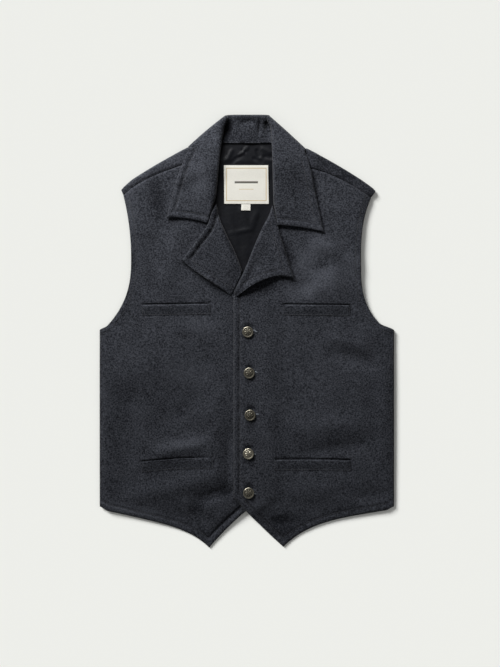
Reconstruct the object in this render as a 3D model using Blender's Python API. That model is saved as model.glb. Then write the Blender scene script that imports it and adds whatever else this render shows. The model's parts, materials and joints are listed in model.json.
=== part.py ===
# Wool vest laid flat on its back, front up, buttoned, with a turned-down collar and open lapels.
# Sizes are millimetres in the tables and become metres in the meshes. +Y points to the collar, +Z up.
# "left" and "right" are the sides as seen from above, so the right front is the one on top.

import math

import bmesh
import bpy
import numpy as np
from mathutils import Vector
from mathutils.bvhtree import BVHTree

MM = 0.001
GAP = 0.3

# Cloth walls, from the thin lining satin to the faced and bagged-out melton of the fronts.
BACK_WALL = 3.0
LINING_WALL = 1.0
FRONT_WALL = 3.5
LAPEL_WALL = 3.0
COLLAR_WALL = 3.0
WELT_WALL = 1.8
LABEL_WALL = 0.8
EDGE_SHARE = 0.5
EDGE_ROW = 4.0
SHARP_ANGLE = 40.0

# Heights of the armpit, the narrowest place of the armholes and the shoulder tips; the shoulders' fold and
# seam; the neck.
ARMPIT_Y = 2.0
ARMHOLE_Y = 130.0
UNDER_ARM_ROWS = (0.05, 0.12, 0.2, 0.3, 0.42, 0.58, 0.78, 1.0)
TIP_HALF = 229.0
TIP_Y = 254.0
BACK_INSET = 1.5
BACK_INSET_RUN = 40.0
SHOULDER_COLUMNS = 12
SHOULDER_START = 114.0
SHOULDER_SLOPE = 0.5
SHOULDER_DROP = 0.00085
NECK_HALF = 55.0
NECK_Y = 340.0
NECK_RISE = 8.0
COLLAR_HALF = 113.0
COLLAR_PRESS = 8.0
COLLAR_PRESS_RUN = 9.0
SEAM_AT_TIP = 14.0
SEAM_SPREAD = 0.165

# Hem: the back is straight, each front runs from its side corner to a point and back up to its edge.
BACK_HEM_Y = -308.0
SIDE_HEM_Y = -316.5
CORNER_Y = -299.0
HEM_Y = -322.5
HEM_CORNER = 7.0
FLOOR_RUN = 38.0

# Layers over the back: the lining stops short of the outer edges, where the fronts drop onto the back.
LINING_INSET = 14.0
LINING_HEM_Y = -270.0
LINING_TOP_Y = 337.0
LINING_ARM_Y = 215.0
# Columns: height, half width of the lining there, inside the shoulder seams.
LINING_LIMIT = ((215.0, 260.0), (245.0, 195.0), (266.0, 145.0), (280.0, 95.0), (296.0, 56.0), (337.0, 52.0))
NECK_LIFT_Y = 268.0
NECK_LIFT_RUN = 32.0
NECK_LIFT_HALF = 140.0
NECK_LIFT_FADE = 24.0
FRONT_LEVEL = BACK_WALL + LINING_WALL + 2.0 * GAP
NECK_LEVEL = BACK_WALL + COLLAR_WALL + GAP
NECK_LOW_Y = 300.0
OVERLAP_RAMP = 40.0
OVERLAP_FLAT = 5.0
OVERLAP_GAP = 0.7

# Air under the fronts: how far in from the side, free edge and hem it fills out, and its heights.
FILL_SIDE = 55.0
FILL_EDGE = 60.0
FILL_HEM = 70.0
FILL_HEIGHT = 1.5
FILL_MAX = 3.3
SHOULDER_FILL = 1.6
SHOULDER_FILL_Y = 150.0
SHOULDER_FILL_RUN = 60.0
SHOULDER_FILL_SIDE = 20.0

# Each side of the body: half widths at the chest, armhole and shoulder tip, and how sharply the armhole
# scoops. Each front: its point, the free edge's x at each height y, and the run of its hem from the side.
LEFT = {
    "sign": -1.0, "chest": 265.4, "armhole": 209.7, "shoulder": 227.5, "shoulder_y": 327.5, "scoop": 3.1,
    "tip": (-69.3, -389.5), "slant_bow": 5.5, "hem_slope": 45.0, "hem_depth": 22.0, "hem_curve": 6.0,
    "neck_x": -65.0, "flat_edge": 58.0, "late_drop": 0.0,
    "edge_y": (-299.0, 0.0, 40.0, 63.0, 107.0, 195.0, 222.0, 250.0, 330.0),
    "edge_x": (29.7, 29.7, 25.0, 12.0, -14.5, -54.5, -62.0, -65.0, -65.0),
}
RIGHT = {
    "sign": 1.0, "chest": 265.4, "armhole": 204.3, "shoulder": 229.5, "shoulder_y": 325.3, "scoop": 4.4,
    "tip": (64.8, -389.5), "slant_bow": -3.0, "hem_slope": 33.0, "hem_depth": 34.0, "hem_curve": 4.5,
    "neck_x": 63.0, "flat_edge": 12.0, "late_drop": 8.0,
    "edge_y": (-299.0, 62.0, 74.0, 107.0, 160.0, 212.0, 240.0, 330.0),
    "edge_x": (-25.6, -25.6, -16.5, -1.5, 24.8, 51.0, 60.0, 63.0),
}
# Shares of the slanted edge from its corner to the point, and of the hem from the point to the side.
SLANT_COLUMNS = (0.0, 0.045, 0.25, 0.5, 0.75, 1.0)
HEM_COLUMNS = (0.03, 0.07, 0.12, 0.2, 0.3, 0.42, 0.54, 0.66, 0.78, 0.88, 0.96, 0.99, 1.0)

# Largest folds of the fronts: a soft ridge or trough from one end to the other.
# Columns: start x, start y, end x, end y, half width, height. Each end fades over a share of the length.
FOLD_END = 0.25
FOLDS = (
    (-225.0, -60.0, -150.0, -190.0, 34.0, 1.6),
    (-70.0, -40.0, -95.0, -215.0, 30.0, -1.4),
    (-28.0, -285.0, -95.0, -308.0, 13.0, -1.6),
    (-205.0, 120.0, -125.0, 60.0, 26.0, 1.3),
    (205.0, 110.0, 120.0, 40.0, 26.0, 1.4),
    (235.0, -40.0, 150.0, -150.0, 32.0, 1.4),
    (85.0, -60.0, 105.0, -210.0, 28.0, -1.2),
    (110.0, -330.0, 225.0, -255.0, 22.0, 1.2),
)

# Turned-back lapels. Roll runs from the crossing up to the gorge, the edge from the gorge to the tip,
# and the low edge from the crossing out to the tip.
LAPEL_ROLL_RADIUS = 6.5
LAPEL_EASE = 0.6
LAPEL_ROWS = (0.0, 0.06, 0.2, 0.36, 0.52, 0.68, 0.82, 0.95, 1.0)
LAPEL_COLUMNS = (0.0, 0.025, 0.085, 0.25, 0.45, 0.65, 0.84, 0.96, 1.0)
# Columns bent down round the roll, and the same number past them whose height the roll takes.
ROLL_COLUMNS = 3
LAPELS = {
    "lapel_left": {
        "roll": ((-9.6, 107.0), (-29.0, 151.0), (-48.4, 195.0), (-52.5, 217.0)),
        "edge": ((-52.5, 217.0), (-66.5, 196.0), (-114.5, 124.0)),
        "low": ((-29.5, 65.5), (-70.0, 92.0), (-114.5, 124.0)),
    },
    "lapel_right": {
        "roll": ((-21.5, 77.0), (-8.0, 107.0), (18.5, 160.5), (45.0, 214.0)),
        "edge": ((45.0, 214.0), (51.5, 190.0), (83.7, 97.7)),
        "low": ((-2.0, 77.3), (10.4, 84.6), (40.0, 97.0), (83.7, 97.7)),
    },
}

# Collar fall, from centre back round each side to its front end.
# Columns: share of the band, edge x, edge y, fold x, fold y, turn (0 under the back, 1 on the front).
FALL_LEFT = (
    (0.00, 0.0, 321.0, 0.0, 383.4, 0.0),
    (0.16, -44.0, 321.0, -22.0, 383.4, 0.0),
    (0.34, -99.0, 327.0, -36.0, 384.0, 0.0),
    (0.46, -105.0, 325.0, -39.5, 382.0, 1.0),
    (0.52, -109.0, 311.0, -44.0, 366.0, 1.0),
    (0.66, -117.5, 281.0, -50.0, 324.0, 1.0),
    (0.84, -131.0, 237.0, -57.5, 240.0, 1.0),
    (1.00, -142.0, 200.5, -73.0, 199.8, 1.0),
)
FALL_RIGHT = (
    (0.00, 0.0, 321.0, 0.0, 383.4, 0.0),
    (0.16, 44.0, 321.0, 22.0, 383.4, 0.0),
    (0.34, 96.5, 323.5, 33.5, 382.5, 0.0),
    (0.46, 103.0, 321.5, 37.0, 379.0, 1.0),
    (0.52, 107.0, 309.0, 43.5, 364.0, 1.0),
    (0.66, 114.0, 279.0, 48.4, 324.0, 1.0),
    (0.84, 126.0, 228.0, 50.5, 232.0, 1.0),
    (1.00, 137.2, 180.4, 59.0, 193.0, 1.0),
)
FALL_COLUMNS = (0.0, 0.06, 0.3, 0.55, 0.8, 1.0)
FALL_EASE = 0.8
FALL_TURN_LIMIT = 5.9
FALL_RISE_START = 0.45
FOLD_TURN_START = 0.26
FOLD_TURN_RUN = 0.28
FALL_FOLD_RADIUS = 2.6
BACK_FOLD_RADIUS = 3.9
CORNER_FOLD_RADIUS = 2.0
# Columns: share of the band, radius of its fold there.
FALL_FOLD_RADII = ((0.16, BACK_FOLD_RADIUS), (0.34, CORNER_FOLD_RADIUS), (0.46, CORNER_FOLD_RADIUS),
                   (0.56, FALL_FOLD_RADIUS))
STAND_HALF = 40.0
STAND_TOP_HALF = 30.0
STAND_TOP_Y = 382.2
STAND_CORNER = 4.0
STAND_CORNER_START = 24.0

# Pocket welts. Columns: inner x, outer x, height of the top line at each.
WELT_DEPTH = 20.5
WELTS = {
    "welt_upper_left": (-66.0, -190.5, 51.0, 49.5),
    "welt_upper_right": (63.5, 185.5, 49.0, 49.0),
    "welt_lower_left": (-58.0, -192.0, -227.0, -233.5),
    "welt_lower_right": (48.0, 186.0, -229.5, -230.5),
}

# Buttons down the right front, and the label sewn to the lining below the collar.
BUTTON_PLACES = ((0.5, -1.8), (3.0, -75.6), (4.5, -151.2), (1.6, -220.5), (2.0, -291.0))
# Columns: radius, height above the seat, from the flat foot round the rim to the crown.
BUTTON_PROFILE = ((7.6, 0.0), (9.4, 0.7), (10.0, 2.0), (9.6, 3.1), (8.4, 3.7), (7.4, 3.4), (4.5, 4.3))
BUTTON_CROWN = 4.8
BUTTON_SIDES = 20
BUTTON_REACH = 9.0
# Columns: left x, right x, height of the top line at each, depth.
LABEL_BOX = (-42.0, 39.2, 298.4, 298.4, 69.8)
TAB_BOX = (-11.9, 5.4, 228.2, 228.2, 10.9)


def smooth(value):
    """Smooth step from 0 to 1 over the unit range."""
    value = np.clip(value, 0.0, 1.0)
    return value * value * (3.0 - 2.0 * value)


def armhole_half(side, y):
    """Half width of a side at height y: straight, a power curve under the arm, a parabola to the shoulder."""
    low = np.clip((ARMHOLE_Y - y) / (ARMHOLE_Y - ARMPIT_Y), 0.0, 1.0)
    high = np.clip((y - ARMHOLE_Y) / (TIP_Y - ARMHOLE_Y), 0.0, None)
    scoop = (side["chest"] - side["armhole"]) * low ** side["scoop"]
    return side["armhole"] + scoop + (side["shoulder"] - side["armhole"]) * high * high


def shoulder_line_y(x):
    """Height of the shoulder, falling from the collar to the tip in a soft curve."""
    run = np.abs(x) - SHOULDER_START
    start_y = np.where(x < 0.0, LEFT["shoulder_y"], RIGHT["shoulder_y"])
    return start_y - SHOULDER_SLOPE * run - SHOULDER_DROP * run * run


def shoulder_fold_y(x):
    """Height of the shoulder's fold, pressed in a little under the collar."""
    return shoulder_line_y(x) - COLLAR_PRESS * smooth((COLLAR_HALF - np.abs(x)) / COLLAR_PRESS_RUN)


def shoulder_seam_y(x):
    """Height of the shoulder seam, which lies on the front side of the fold."""
    return shoulder_line_y(x) - SEAM_AT_TIP - SEAM_SPREAD * (TIP_HALF - np.abs(x))


def seam_tip_y(front):
    """Height at which the shoulder seam meets the armhole, found by going back and forth between them."""
    half = front["shoulder"]
    for _ in range(20):
        half = float(armhole_half(front, shoulder_seam_y(front["sign"] * half)))
    return float(shoulder_seam_y(front["sign"] * half))


def hem_y(front, half):
    """Front hem: a straight fall from the side to the point plus a power curve, with a corner at the side."""
    share = np.clip((front["chest"] - half) / (front["chest"] - abs(front["tip"][0])), 0.0, 1.0)
    corner = (SIDE_HEM_Y - HEM_Y) * smooth((half - front["chest"] + HEM_CORNER) / HEM_CORNER)
    return HEM_Y - front["hem_slope"] * share - front["hem_depth"] * share ** front["hem_curve"] + corner


def edge_x(front, y):
    """Free edge of a front at height y; below its corner the edge runs down to the point."""
    straight = np.interp(y, front["edge_y"], front["edge_x"])
    corner_x = front["edge_x"][0]
    tip_x, tip_y = front["tip"]
    slanted = corner_x + (tip_x - corner_x) * (CORNER_Y - y) / (CORNER_Y - tip_y)
    return np.where(y < CORNER_Y, slanted, straight)


def neck_lift(x, y):
    """Rise of the back over the collar fall that lies under it at the neck."""
    along = smooth((y - NECK_LIFT_Y) / NECK_LIFT_RUN)
    return (COLLAR_WALL + GAP) * along * smooth((NECK_LIFT_HALF - np.abs(x)) / NECK_LIFT_FADE)


def fold_relief(x, y):
    """Sum of the soft ridges and troughs in FOLDS."""
    relief = np.zeros_like(x)
    for start_x, start_y, end_x, end_y, width, height in FOLDS:
        run_x = end_x - start_x
        run_y = end_y - start_y
        length = math.hypot(run_x, run_y)
        along = ((x - start_x) * run_x + (y - start_y) * run_y) / (length * length)
        across = ((x - start_x) * run_y - (y - start_y) * run_x) / length
        begun = smooth((along + FOLD_END) / (2.0 * FOLD_END))
        ended = smooth((1.0 + FOLD_END - along) / (2.0 * FOLD_END))
        relief = relief + height * begun * ended * np.exp(-(across / width) ** 2)
    return relief


def front_under(front, x, y):
    """Height of a front's underside: on the lining, down on the back at the sides, on the floor past it."""
    outer = armhole_half(front, y) - np.abs(x)
    inner = front["sign"] * (x - edge_x(front, y))
    sides = (LINING_WALL + GAP) * (1.0 - smooth(outer / LINING_INSET))
    floor = smooth((y - BACK_HEM_Y + FLOOR_RUN + front["late_drop"]) / FLOOR_RUN)
    filled = smooth(outer / FILL_SIDE) * smooth((inner - front["flat_edge"]) / FILL_EDGE)
    filled = filled * smooth((y - BACK_HEM_Y) / FILL_HEM)
    shoulder = SHOULDER_FILL * smooth((y - SHOULDER_FILL_Y) / SHOULDER_FILL_RUN)
    shoulder = shoulder * smooth((outer + EDGE_ROW) / SHOULDER_FILL_SIDE)
    fill = np.clip(filled * (FILL_HEIGHT + fold_relief(x, y)) + shoulder * (1.0 - filled), 0.0, FILL_MAX)
    level = (FRONT_LEVEL - sides) * floor + neck_lift(x, y) + fill
    if front is RIGHT:
        past_under_front = x - edge_x(LEFT, y)
        over = smooth((OVERLAP_RAMP - past_under_front) / (OVERLAP_RAMP - OVERLAP_FLAT))
        level = level + (FRONT_WALL + OVERLAP_GAP) * over
    return level


def curve_points(points, shares):
    """Points at the given shares of the length of a smooth curve through a few points."""
    points = np.array(points, dtype=float)
    steps = np.hypot(*np.diff(points, axis=0).T)
    knots = np.concatenate(([0.0], np.cumsum(steps)))
    slopes = np.gradient(points, knots, axis=0)
    at = np.asarray(shares) * knots[-1]
    index = np.clip(np.searchsorted(knots, at, side="right") - 1, 0, len(steps) - 1)
    span = steps[index][:, None]
    t = ((at - knots[index]) / steps[index])[:, None]
    start = points[index] * (1.0 + 2.0 * t) * (1.0 - t) ** 2 + slopes[index] * span * t * (1.0 - t) ** 2
    end = points[index + 1] * t * t * (3.0 - 2.0 * t) + slopes[index + 1] * span * t * t * (t - 1.0)
    return start + end


def patch(bottom, top, start, end, u, v):
    """Surface between four edge curves: the edges' blends added, less the blend of the corners."""
    u = np.asarray(u)[None, :, None]
    v = np.asarray(v)[:, None, None]
    along = (1.0 - v) * bottom[None] + v * top[None]
    across = (1.0 - u) * start[:, None] + u * end[:, None]
    low = (1.0 - u) * bottom[0] + u * bottom[-1]
    high = (1.0 - u) * top[0] + u * top[-1]
    return along + across - (1.0 - v) * low - v * high


def grid_quads(rows, columns):
    """Quads of a grid of points numbered row by row."""
    index = np.arange(rows * columns).reshape(rows, columns)
    corners = (index[:-1, :-1], index[:-1, 1:], index[1:, 1:], index[1:, :-1])
    return np.stack(corners, axis=-1).reshape(-1, 4)


def grid_normals(points):
    """Unit normals of a grid of points, from the differences along its rows and columns."""
    along = np.gradient(points, axis=1)
    across = np.gradient(points, axis=0)
    normals = np.cross(along, across)
    return normals / np.maximum(np.linalg.norm(normals, axis=-1, keepdims=True), 1e-9)


def cloth_wall(name, outer, inner, quads, material):
    """Closed wall between an outer and an inner layer of the same quads, with a strip at each free edge."""
    outer = np.asarray(outer).reshape(-1, 3)
    inner = np.asarray(inner).reshape(-1, 3)
    count = len(outer)
    starts = quads.reshape(-1)
    ends = np.roll(quads, -1, axis=1).reshape(-1)
    free = ~np.isin(starts * count + ends, ends * count + starts)
    strip = np.stack((ends, starts, starts + count, ends + count), axis=-1)[free]
    faces = np.concatenate((quads, quads[:, ::-1] + count, strip))
    mesh = bpy.data.meshes.new(name)
    mesh.from_pydata((np.concatenate((outer, inner)) * MM).tolist(), [], faces.tolist())
    shape = bmesh.new()
    shape.from_mesh(mesh)
    loose = [vertex for vertex in shape.verts if not vertex.link_faces]
    bmesh.ops.delete(shape, geom=loose, context="VERTS")
    bmesh.ops.triangulate(shape, faces=shape.faces[:])
    bmesh.ops.recalc_face_normals(shape, faces=shape.faces[:])
    if shape.calc_volume(signed=True) < 0.0:
        bmesh.ops.reverse_faces(shape, faces=shape.faces[:])
    shape.to_mesh(mesh)
    shape.free()
    return add_object(name, mesh, material)


def add_object(name, mesh, material):
    """Object in the scene with one material, shaded smooth but for its edges."""
    mesh.materials.append(material)
    mesh.shade_smooth()
    mesh.set_sharp_from_angle(angle=math.radians(SHARP_ANGLE))
    piece = bpy.data.objects.new(name, mesh)
    bpy.context.scene.collection.objects.link(piece)
    return piece


def make_material(name, colour, roughness, metallic=0.0):
    """Principled material with a plain colour."""
    material = bpy.data.materials.new(name)
    material.use_nodes = True
    shader = material.node_tree.nodes["Principled BSDF"]
    shader.inputs["Base Color"].default_value = (*colour, 1.0)
    shader.inputs["Roughness"].default_value = roughness
    shader.inputs["Metallic"].default_value = metallic
    return material


def rest_height(x, y, pieces, reach=5.0, ceiling=100.0):
    """Highest point of the pieces below a ceiling at each place, within a small reach; 0 where none lies."""
    trees = []
    for piece in pieces:
        corners = [vertex.co for vertex in piece.data.vertices]
        trees.append(BVHTree.FromPolygons(corners, [face.vertices for face in piece.data.polygons]))
    down = Vector((0.0, 0.0, -1.0))
    steps = ((0.0, 0.0), (reach, 0.0), (-reach, 0.0), (0.0, reach), (0.0, -reach))
    heights = np.zeros(np.shape(x))
    for place in np.ndindex(np.shape(x)):
        for step_x, step_y in steps:
            above = Vector(((x[place] + step_x) * MM, (y[place] + step_y) * MM, ceiling * MM))
            for tree in trees:
                hit = tree.ray_cast(above, down)[0]
                if hit is not None:
                    heights[place] = max(heights[place], hit.z / MM)
    return heights


def edge_taper(rows, columns, wall):
    """Wall over a grid, thinner on its outermost points so that the edge is rounded."""
    walls = np.full((rows, columns), wall)
    walls[0] = walls[-1] = wall * EDGE_SHARE
    walls[:, 0] = walls[:, -1] = wall * EDGE_SHARE
    return walls


def stack(points, heights):
    """Grid of plan points with their heights."""
    return np.concatenate((points, heights[..., None]), axis=-1)


def make_back(material):
    """Back panel, flat on the floor, wrapped over each shoulder to the seam on the front side."""
    neck = np.linspace(-NECK_HALF, NECK_HALF, 7)[1:-1]
    top_x = np.concatenate((np.linspace(BACK_INSET - LEFT["shoulder"], -NECK_HALF, SHOULDER_COLUMNS), neck,
                            np.linspace(NECK_HALF, RIGHT["shoulder"] - BACK_INSET, SHOULDER_COLUMNS)))
    half = np.abs(top_x)
    on_shoulder = half >= NECK_HALF - 0.01
    seam_y = shoulder_seam_y(top_x) + GAP
    seam_top = np.where(top_x > 0.0, front_under(RIGHT, top_x, seam_y), front_under(LEFT, top_x, seam_y))
    radius = (seam_top + FRONT_WALL - neck_lift(top_x, seam_y)) / 2.0
    neck_y = NECK_Y + NECK_RISE * (half / NECK_HALF) ** 2
    fold_y = shoulder_fold_y(top_x) - radius
    top = np.stack((top_x, np.where(on_shoulder, fold_y, neck_y)), axis=-1)
    side_y = np.linspace(BACK_HEM_Y, ARMPIT_Y, 8)
    under_arm_y = ARMPIT_Y + (ARMHOLE_Y - ARMPIT_Y) * np.array(UNDER_ARM_ROWS)
    over_arm_y = np.linspace(ARMHOLE_Y, top[-1, 1], 6)[1:]
    y = np.concatenate((side_y, under_arm_y, over_arm_y))
    v = (y - y[0]) / (y[-1] - y[0])
    inset = BACK_INSET * smooth((y - ARMPIT_Y) / BACK_INSET_RUN)
    start = np.stack((inset - armhole_half(LEFT, y), y), axis=-1)
    end = np.stack((armhole_half(RIGHT, y) - inset, y), axis=-1)
    start[-1] = top[0]
    end[-1] = top[-1]
    u = (top_x - top_x[0]) / (top_x[-1] - top_x[0])
    bottom = np.stack((start[0, 0] + u * (end[0, 0] - start[0, 0]), np.full_like(u, BACK_HEM_Y)), axis=-1)
    panel = patch(bottom, top, start, end, u, v)
    under = neck_lift(panel[..., 0], panel[..., 1])
    outer = [stack(panel, under)]
    inner = [stack(panel, under + BACK_WALL)]
    base = under[-1] + radius
    for angle in np.radians((-45.0, 0.0, 45.0, 90.0)):
        for layer, size in ((outer, radius), (inner, radius - BACK_WALL)):
            ring = np.stack((top_x, fold_y + size * np.cos(angle), base + size * np.sin(angle)), axis=-1)
            layer.append(ring[None])
    for share in (0.5, 1.0):
        y_row = fold_y + share * (seam_y - fold_y)
        z_row = base + radius + share * (seam_top + FRONT_WALL - base - radius)
        wall = BACK_WALL * (EDGE_SHARE if share == 1.0 else 1.0)
        outer.append(np.stack((top_x, y_row, z_row - (BACK_WALL - wall)), axis=-1)[None])
        inner.append(np.stack((top_x, y_row, z_row - BACK_WALL), axis=-1)[None])
    outer = np.concatenate(outer)
    rows, columns = outer.shape[:2]
    quads = grid_quads(rows, columns).reshape(rows - 1, columns - 1, 4)
    wraps = on_shoulder[:-1] & on_shoulder[1:]
    body_rows = len(v) - 1
    quads = np.concatenate((quads[:body_rows].reshape(-1, 4), quads[body_rows:, wraps].reshape(-1, 4)))
    return cloth_wall("back", outer, np.concatenate(inner), quads, material)


def make_lining(back, material):
    """Satin lining of the back, set in from its edges and seen in the neck opening."""
    y = np.concatenate((np.linspace(LINING_HEM_Y, ARMPIT_Y, 7), np.linspace(ARMPIT_Y, LINING_ARM_Y, 8)[1:],
                        np.linspace(LINING_ARM_Y, LINING_TOP_Y, 12)[1:]))
    arm_y = np.minimum(y, LINING_ARM_Y)
    half = np.minimum(armhole_half(LEFT, arm_y), armhole_half(RIGHT, arm_y)) - LINING_INSET
    half = np.minimum(half, np.interp(y, *zip(*LINING_LIMIT)))
    share = np.linspace(-1.0, 1.0, 11)
    points = np.stack(np.broadcast_arrays(half[:, None] * share, y[:, None]), axis=-1)
    under = rest_height(points[..., 0], points[..., 1], (back,), ceiling=NECK_LEVEL + 1.0) + GAP
    return cloth_wall("back_lining", stack(points, under + LINING_WALL), stack(points, under),
                      grid_quads(*under.shape), material)


def make_front(name, front, material):
    """Front panel from its hem point to the shoulder seam, side edge dropped onto the back."""
    sign = front["sign"]
    tip_y = seam_tip_y(front)
    side_y = np.concatenate(((SIDE_HEM_Y,), np.linspace(SIDE_HEM_Y + EDGE_ROW, ARMPIT_Y, 10)))
    under_arm_y = ARMPIT_Y + (ARMHOLE_Y - ARMPIT_Y) * np.array(UNDER_ARM_ROWS)
    over_arm_y = np.concatenate((np.linspace(ARMHOLE_Y, tip_y - EDGE_ROW, 6)[1:], (tip_y,)))
    y = np.concatenate((side_y, under_arm_y, over_arm_y))
    v = (y - y[0]) / (y[-1] - y[0])
    end = np.stack((sign * armhole_half(front, y), y), axis=-1)
    edge_y = CORNER_Y + (shoulder_seam_y(front["neck_x"]) - CORNER_Y) * v
    start = np.stack((edge_x(front, edge_y), edge_y), axis=-1)
    corner_x = start[0, 0]
    side_x = sign * front["chest"]
    point_x, point_y = front["tip"]
    slant = np.array(SLANT_COLUMNS)
    to_side = point_x + (side_x - point_x) * np.array(HEM_COLUMNS)
    slant_y = CORNER_Y + (point_y - CORNER_Y) * slant + 4.0 * front["slant_bow"] * slant * (1.0 - slant)
    bottom_x = np.concatenate((corner_x + (point_x - corner_x) * slant, to_side))
    bottom_y = np.concatenate((slant_y, hem_y(front, np.abs(to_side))))
    bottom = np.stack((bottom_x, bottom_y), axis=-1)
    u = (bottom_x - corner_x) / (side_x - corner_x)
    top_x = start[-1, 0] + u * (end[-1, 0] - start[-1, 0])
    top = np.stack((top_x, shoulder_seam_y(top_x)), axis=-1)
    panel = patch(bottom, top, start, end, u, v)
    under = front_under(front, panel[..., 0], panel[..., 1])
    walls = edge_taper(*under.shape, FRONT_WALL)
    quads = grid_quads(*under.shape)
    return cloth_wall(name, stack(panel, under + walls), stack(panel, under), quads, material)


def make_lapel(name, lapel, pieces, material):
    """Lapel turned back on its front, its roll curled down over the front's edge."""
    v = np.array(LAPEL_ROWS)
    u = np.array(LAPEL_COLUMNS)
    start = curve_points(lapel["roll"], v)
    end = curve_points(lapel["low"], v)
    top = curve_points(lapel["edge"], u)
    bottom = start[0] + u[:, None] * (end[0] - start[0])
    plan = patch(bottom, top, start, end, u, v)
    under = rest_height(plan[..., 0], plan[..., 1], pieces) + LAPEL_EASE
    under[:, :ROLL_COLUMNS + 1] = under[:, ROLL_COLUMNS:2 * ROLL_COLUMNS].max(axis=1, keepdims=True)
    walls = edge_taper(*under.shape, LAPEL_WALL)
    outer = stack(plan, under + walls)
    inner = stack(plan, under)
    way = start - plan[:, ROLL_COLUMNS]
    room = np.linalg.norm(way, axis=-1)
    way = way / room[:, None]
    radius = np.clip(0.95 * room, LAPEL_WALL + 0.5, LAPEL_ROLL_RADIUS)
    centre = start - way * radius[:, None]
    for column, angle in enumerate(np.radians((0.0, 45.0, 90.0))):
        for layer, size in ((outer, radius), (inner, radius - LAPEL_WALL)):
            layer[:, column, :2] = centre + way * (size * math.cos(angle))[:, None]
            layer[:, column, 2] = under[:, ROLL_COLUMNS] + LAPEL_WALL - radius + size * math.sin(angle)
    return cloth_wall(name, outer, inner, grid_quads(len(v), len(u)), material)


def fall_band(table, pieces):
    """Middle surface of half the collar fall: straight from edge to fold, then a hairpin to the stand."""
    columns = np.array(table).T
    shares = np.concatenate((np.linspace(0.0, 0.28, 4), np.linspace(0.34, 0.46, 5), np.linspace(0.5, 1.0, 10)))
    ex, ey, fx, fy, turn = (np.interp(shares, columns[0], column) for column in columns[1:])
    edge = np.stack((ex, ey), axis=-1)
    fold = np.stack((fx, fy), axis=-1)
    way = (fold - edge) / np.linalg.norm(fold - edge, axis=-1, keepdims=True)
    side = np.sign(ex[-1])
    outward = np.stack((way[:, 1], -way[:, 0]), axis=-1) * side
    across = np.array(FALL_COLUMNS)
    plan = edge[:, None] + across[None, :, None] * (fold - edge)[:, None]
    half_wall = COLLAR_WALL / 2.0
    neck_level = np.where(fy > NECK_LOW_Y, NECK_LEVEL, 0.0)
    looked = edge[:, None] + np.linspace(0.0, 1.0, 13)[None, :, None] * (fold - edge)[:, None]
    rest = np.maximum(rest_height(looked[..., 0], looked[..., 1], pieces).max(axis=1), neck_level)
    fold_rest = np.maximum(rest_height(fx, fy, pieces, reach=2.0), neck_level)
    low = (rest + FALL_EASE + half_wall)[:, None]
    high = np.maximum(low, (fold_rest + FALL_EASE + half_wall + 2.0 * FALL_FOLD_RADIUS)[:, None])
    on_top = low + (high - low) * smooth((across - FALL_RISE_START) / (1.0 - FALL_RISE_START))
    first_top = np.argmax(turn >= 1.0)
    on_top[:first_top] = on_top[first_top]
    bend = (on_top - half_wall) / 2.0
    angle = np.pi * turn[:, None]
    heights = half_wall + bend * (1.0 - np.cos(angle))
    plan = plan + outward[:, None] * (np.minimum(bend, FALL_TURN_LIMIT) * np.sin(angle))[..., None]
    band = stack(plan, heights)
    radius = np.interp(shares, *zip(*FALL_FOLD_RADII))
    normal = np.concatenate((outward * np.sin(angle), -np.cos(angle)), axis=-1)
    facing = 0.5 * np.pi * smooth((shares - FOLD_TURN_START) / FOLD_TURN_RUN)
    bulge = np.stack((-side * np.sin(facing), np.cos(facing), np.zeros_like(facing)), axis=-1)
    start = band[:, -1]
    arc = []
    for step in np.radians((45.0, 90.0, 135.0, 180.0)):
        turned = (1.0 - np.cos(step)) * -normal + np.sin(step) * bulge
        arc.append(start + radius[:, None] * turned)
    return np.concatenate((band, np.stack(arc, axis=1)), axis=1)


def make_fall(pieces, material):
    """Collar fall in one band: left front, under the back of the neck, right front."""
    left = fall_band(FALL_LEFT, pieces)
    right = fall_band(FALL_RIGHT, pieces)
    middle = np.concatenate((left[::-1], right[1:]))
    normals = grid_normals(middle)
    half = edge_taper(*middle.shape[:2], COLLAR_WALL / 2.0)[..., None]
    half[:, -1] = COLLAR_WALL / 2.0
    return cloth_wall("collar_fall", middle + normals * half, middle - normals * half,
                      grid_quads(*middle.shape[:2]), material)


def make_stand(material):
    """Collar stand, seen inside the back of the neck between the neck seam and the fold."""
    x = np.linspace(-STAND_HALF, STAND_HALF, 11)
    corner = smooth((np.abs(x) - STAND_CORNER_START) / (STAND_HALF - STAND_CORNER_START))
    top = STAND_TOP_Y - STAND_CORNER * corner
    v = np.linspace(0.0, 1.0, 6)[:, None]
    y = LINING_TOP_Y + GAP + v * (top - LINING_TOP_Y - GAP)
    narrowed = x * (1.0 + v * (STAND_TOP_HALF / STAND_HALF - 1.0))
    seam_z = BACK_WALL + COLLAR_WALL + 2.0 * GAP
    fold_z = 2.0 * BACK_FOLD_RADIUS
    under = seam_z + (fold_z - seam_z) * (y - LINING_TOP_Y) / (STAND_TOP_Y - LINING_TOP_Y)
    points = np.stack((narrowed, y), axis=-1)
    return cloth_wall("collar_stand", stack(points, under + COLLAR_WALL), stack(points, under),
                      grid_quads(*under.shape), material)


def make_strip(name, box, rows, columns, wall, pieces, material):
    """Flat strip laid on the pieces below. Box: inner and outer x, top line at each, depth."""
    inner_x, outer_x, inner_top, outer_top, depth = box
    u = np.linspace(0.0, 1.0, columns)
    v = np.linspace(0.0, 1.0, rows)[:, None]
    x = np.broadcast_to(inner_x + u * (outer_x - inner_x), (rows, columns))
    y = inner_top + u * (outer_top - inner_top) - v * depth
    points = np.stack((x, y), axis=-1)
    under = rest_height(x, y, pieces) + GAP
    quads = grid_quads(rows, columns)
    return cloth_wall(name, stack(points, under + wall), stack(points, under), quads, material)


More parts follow.
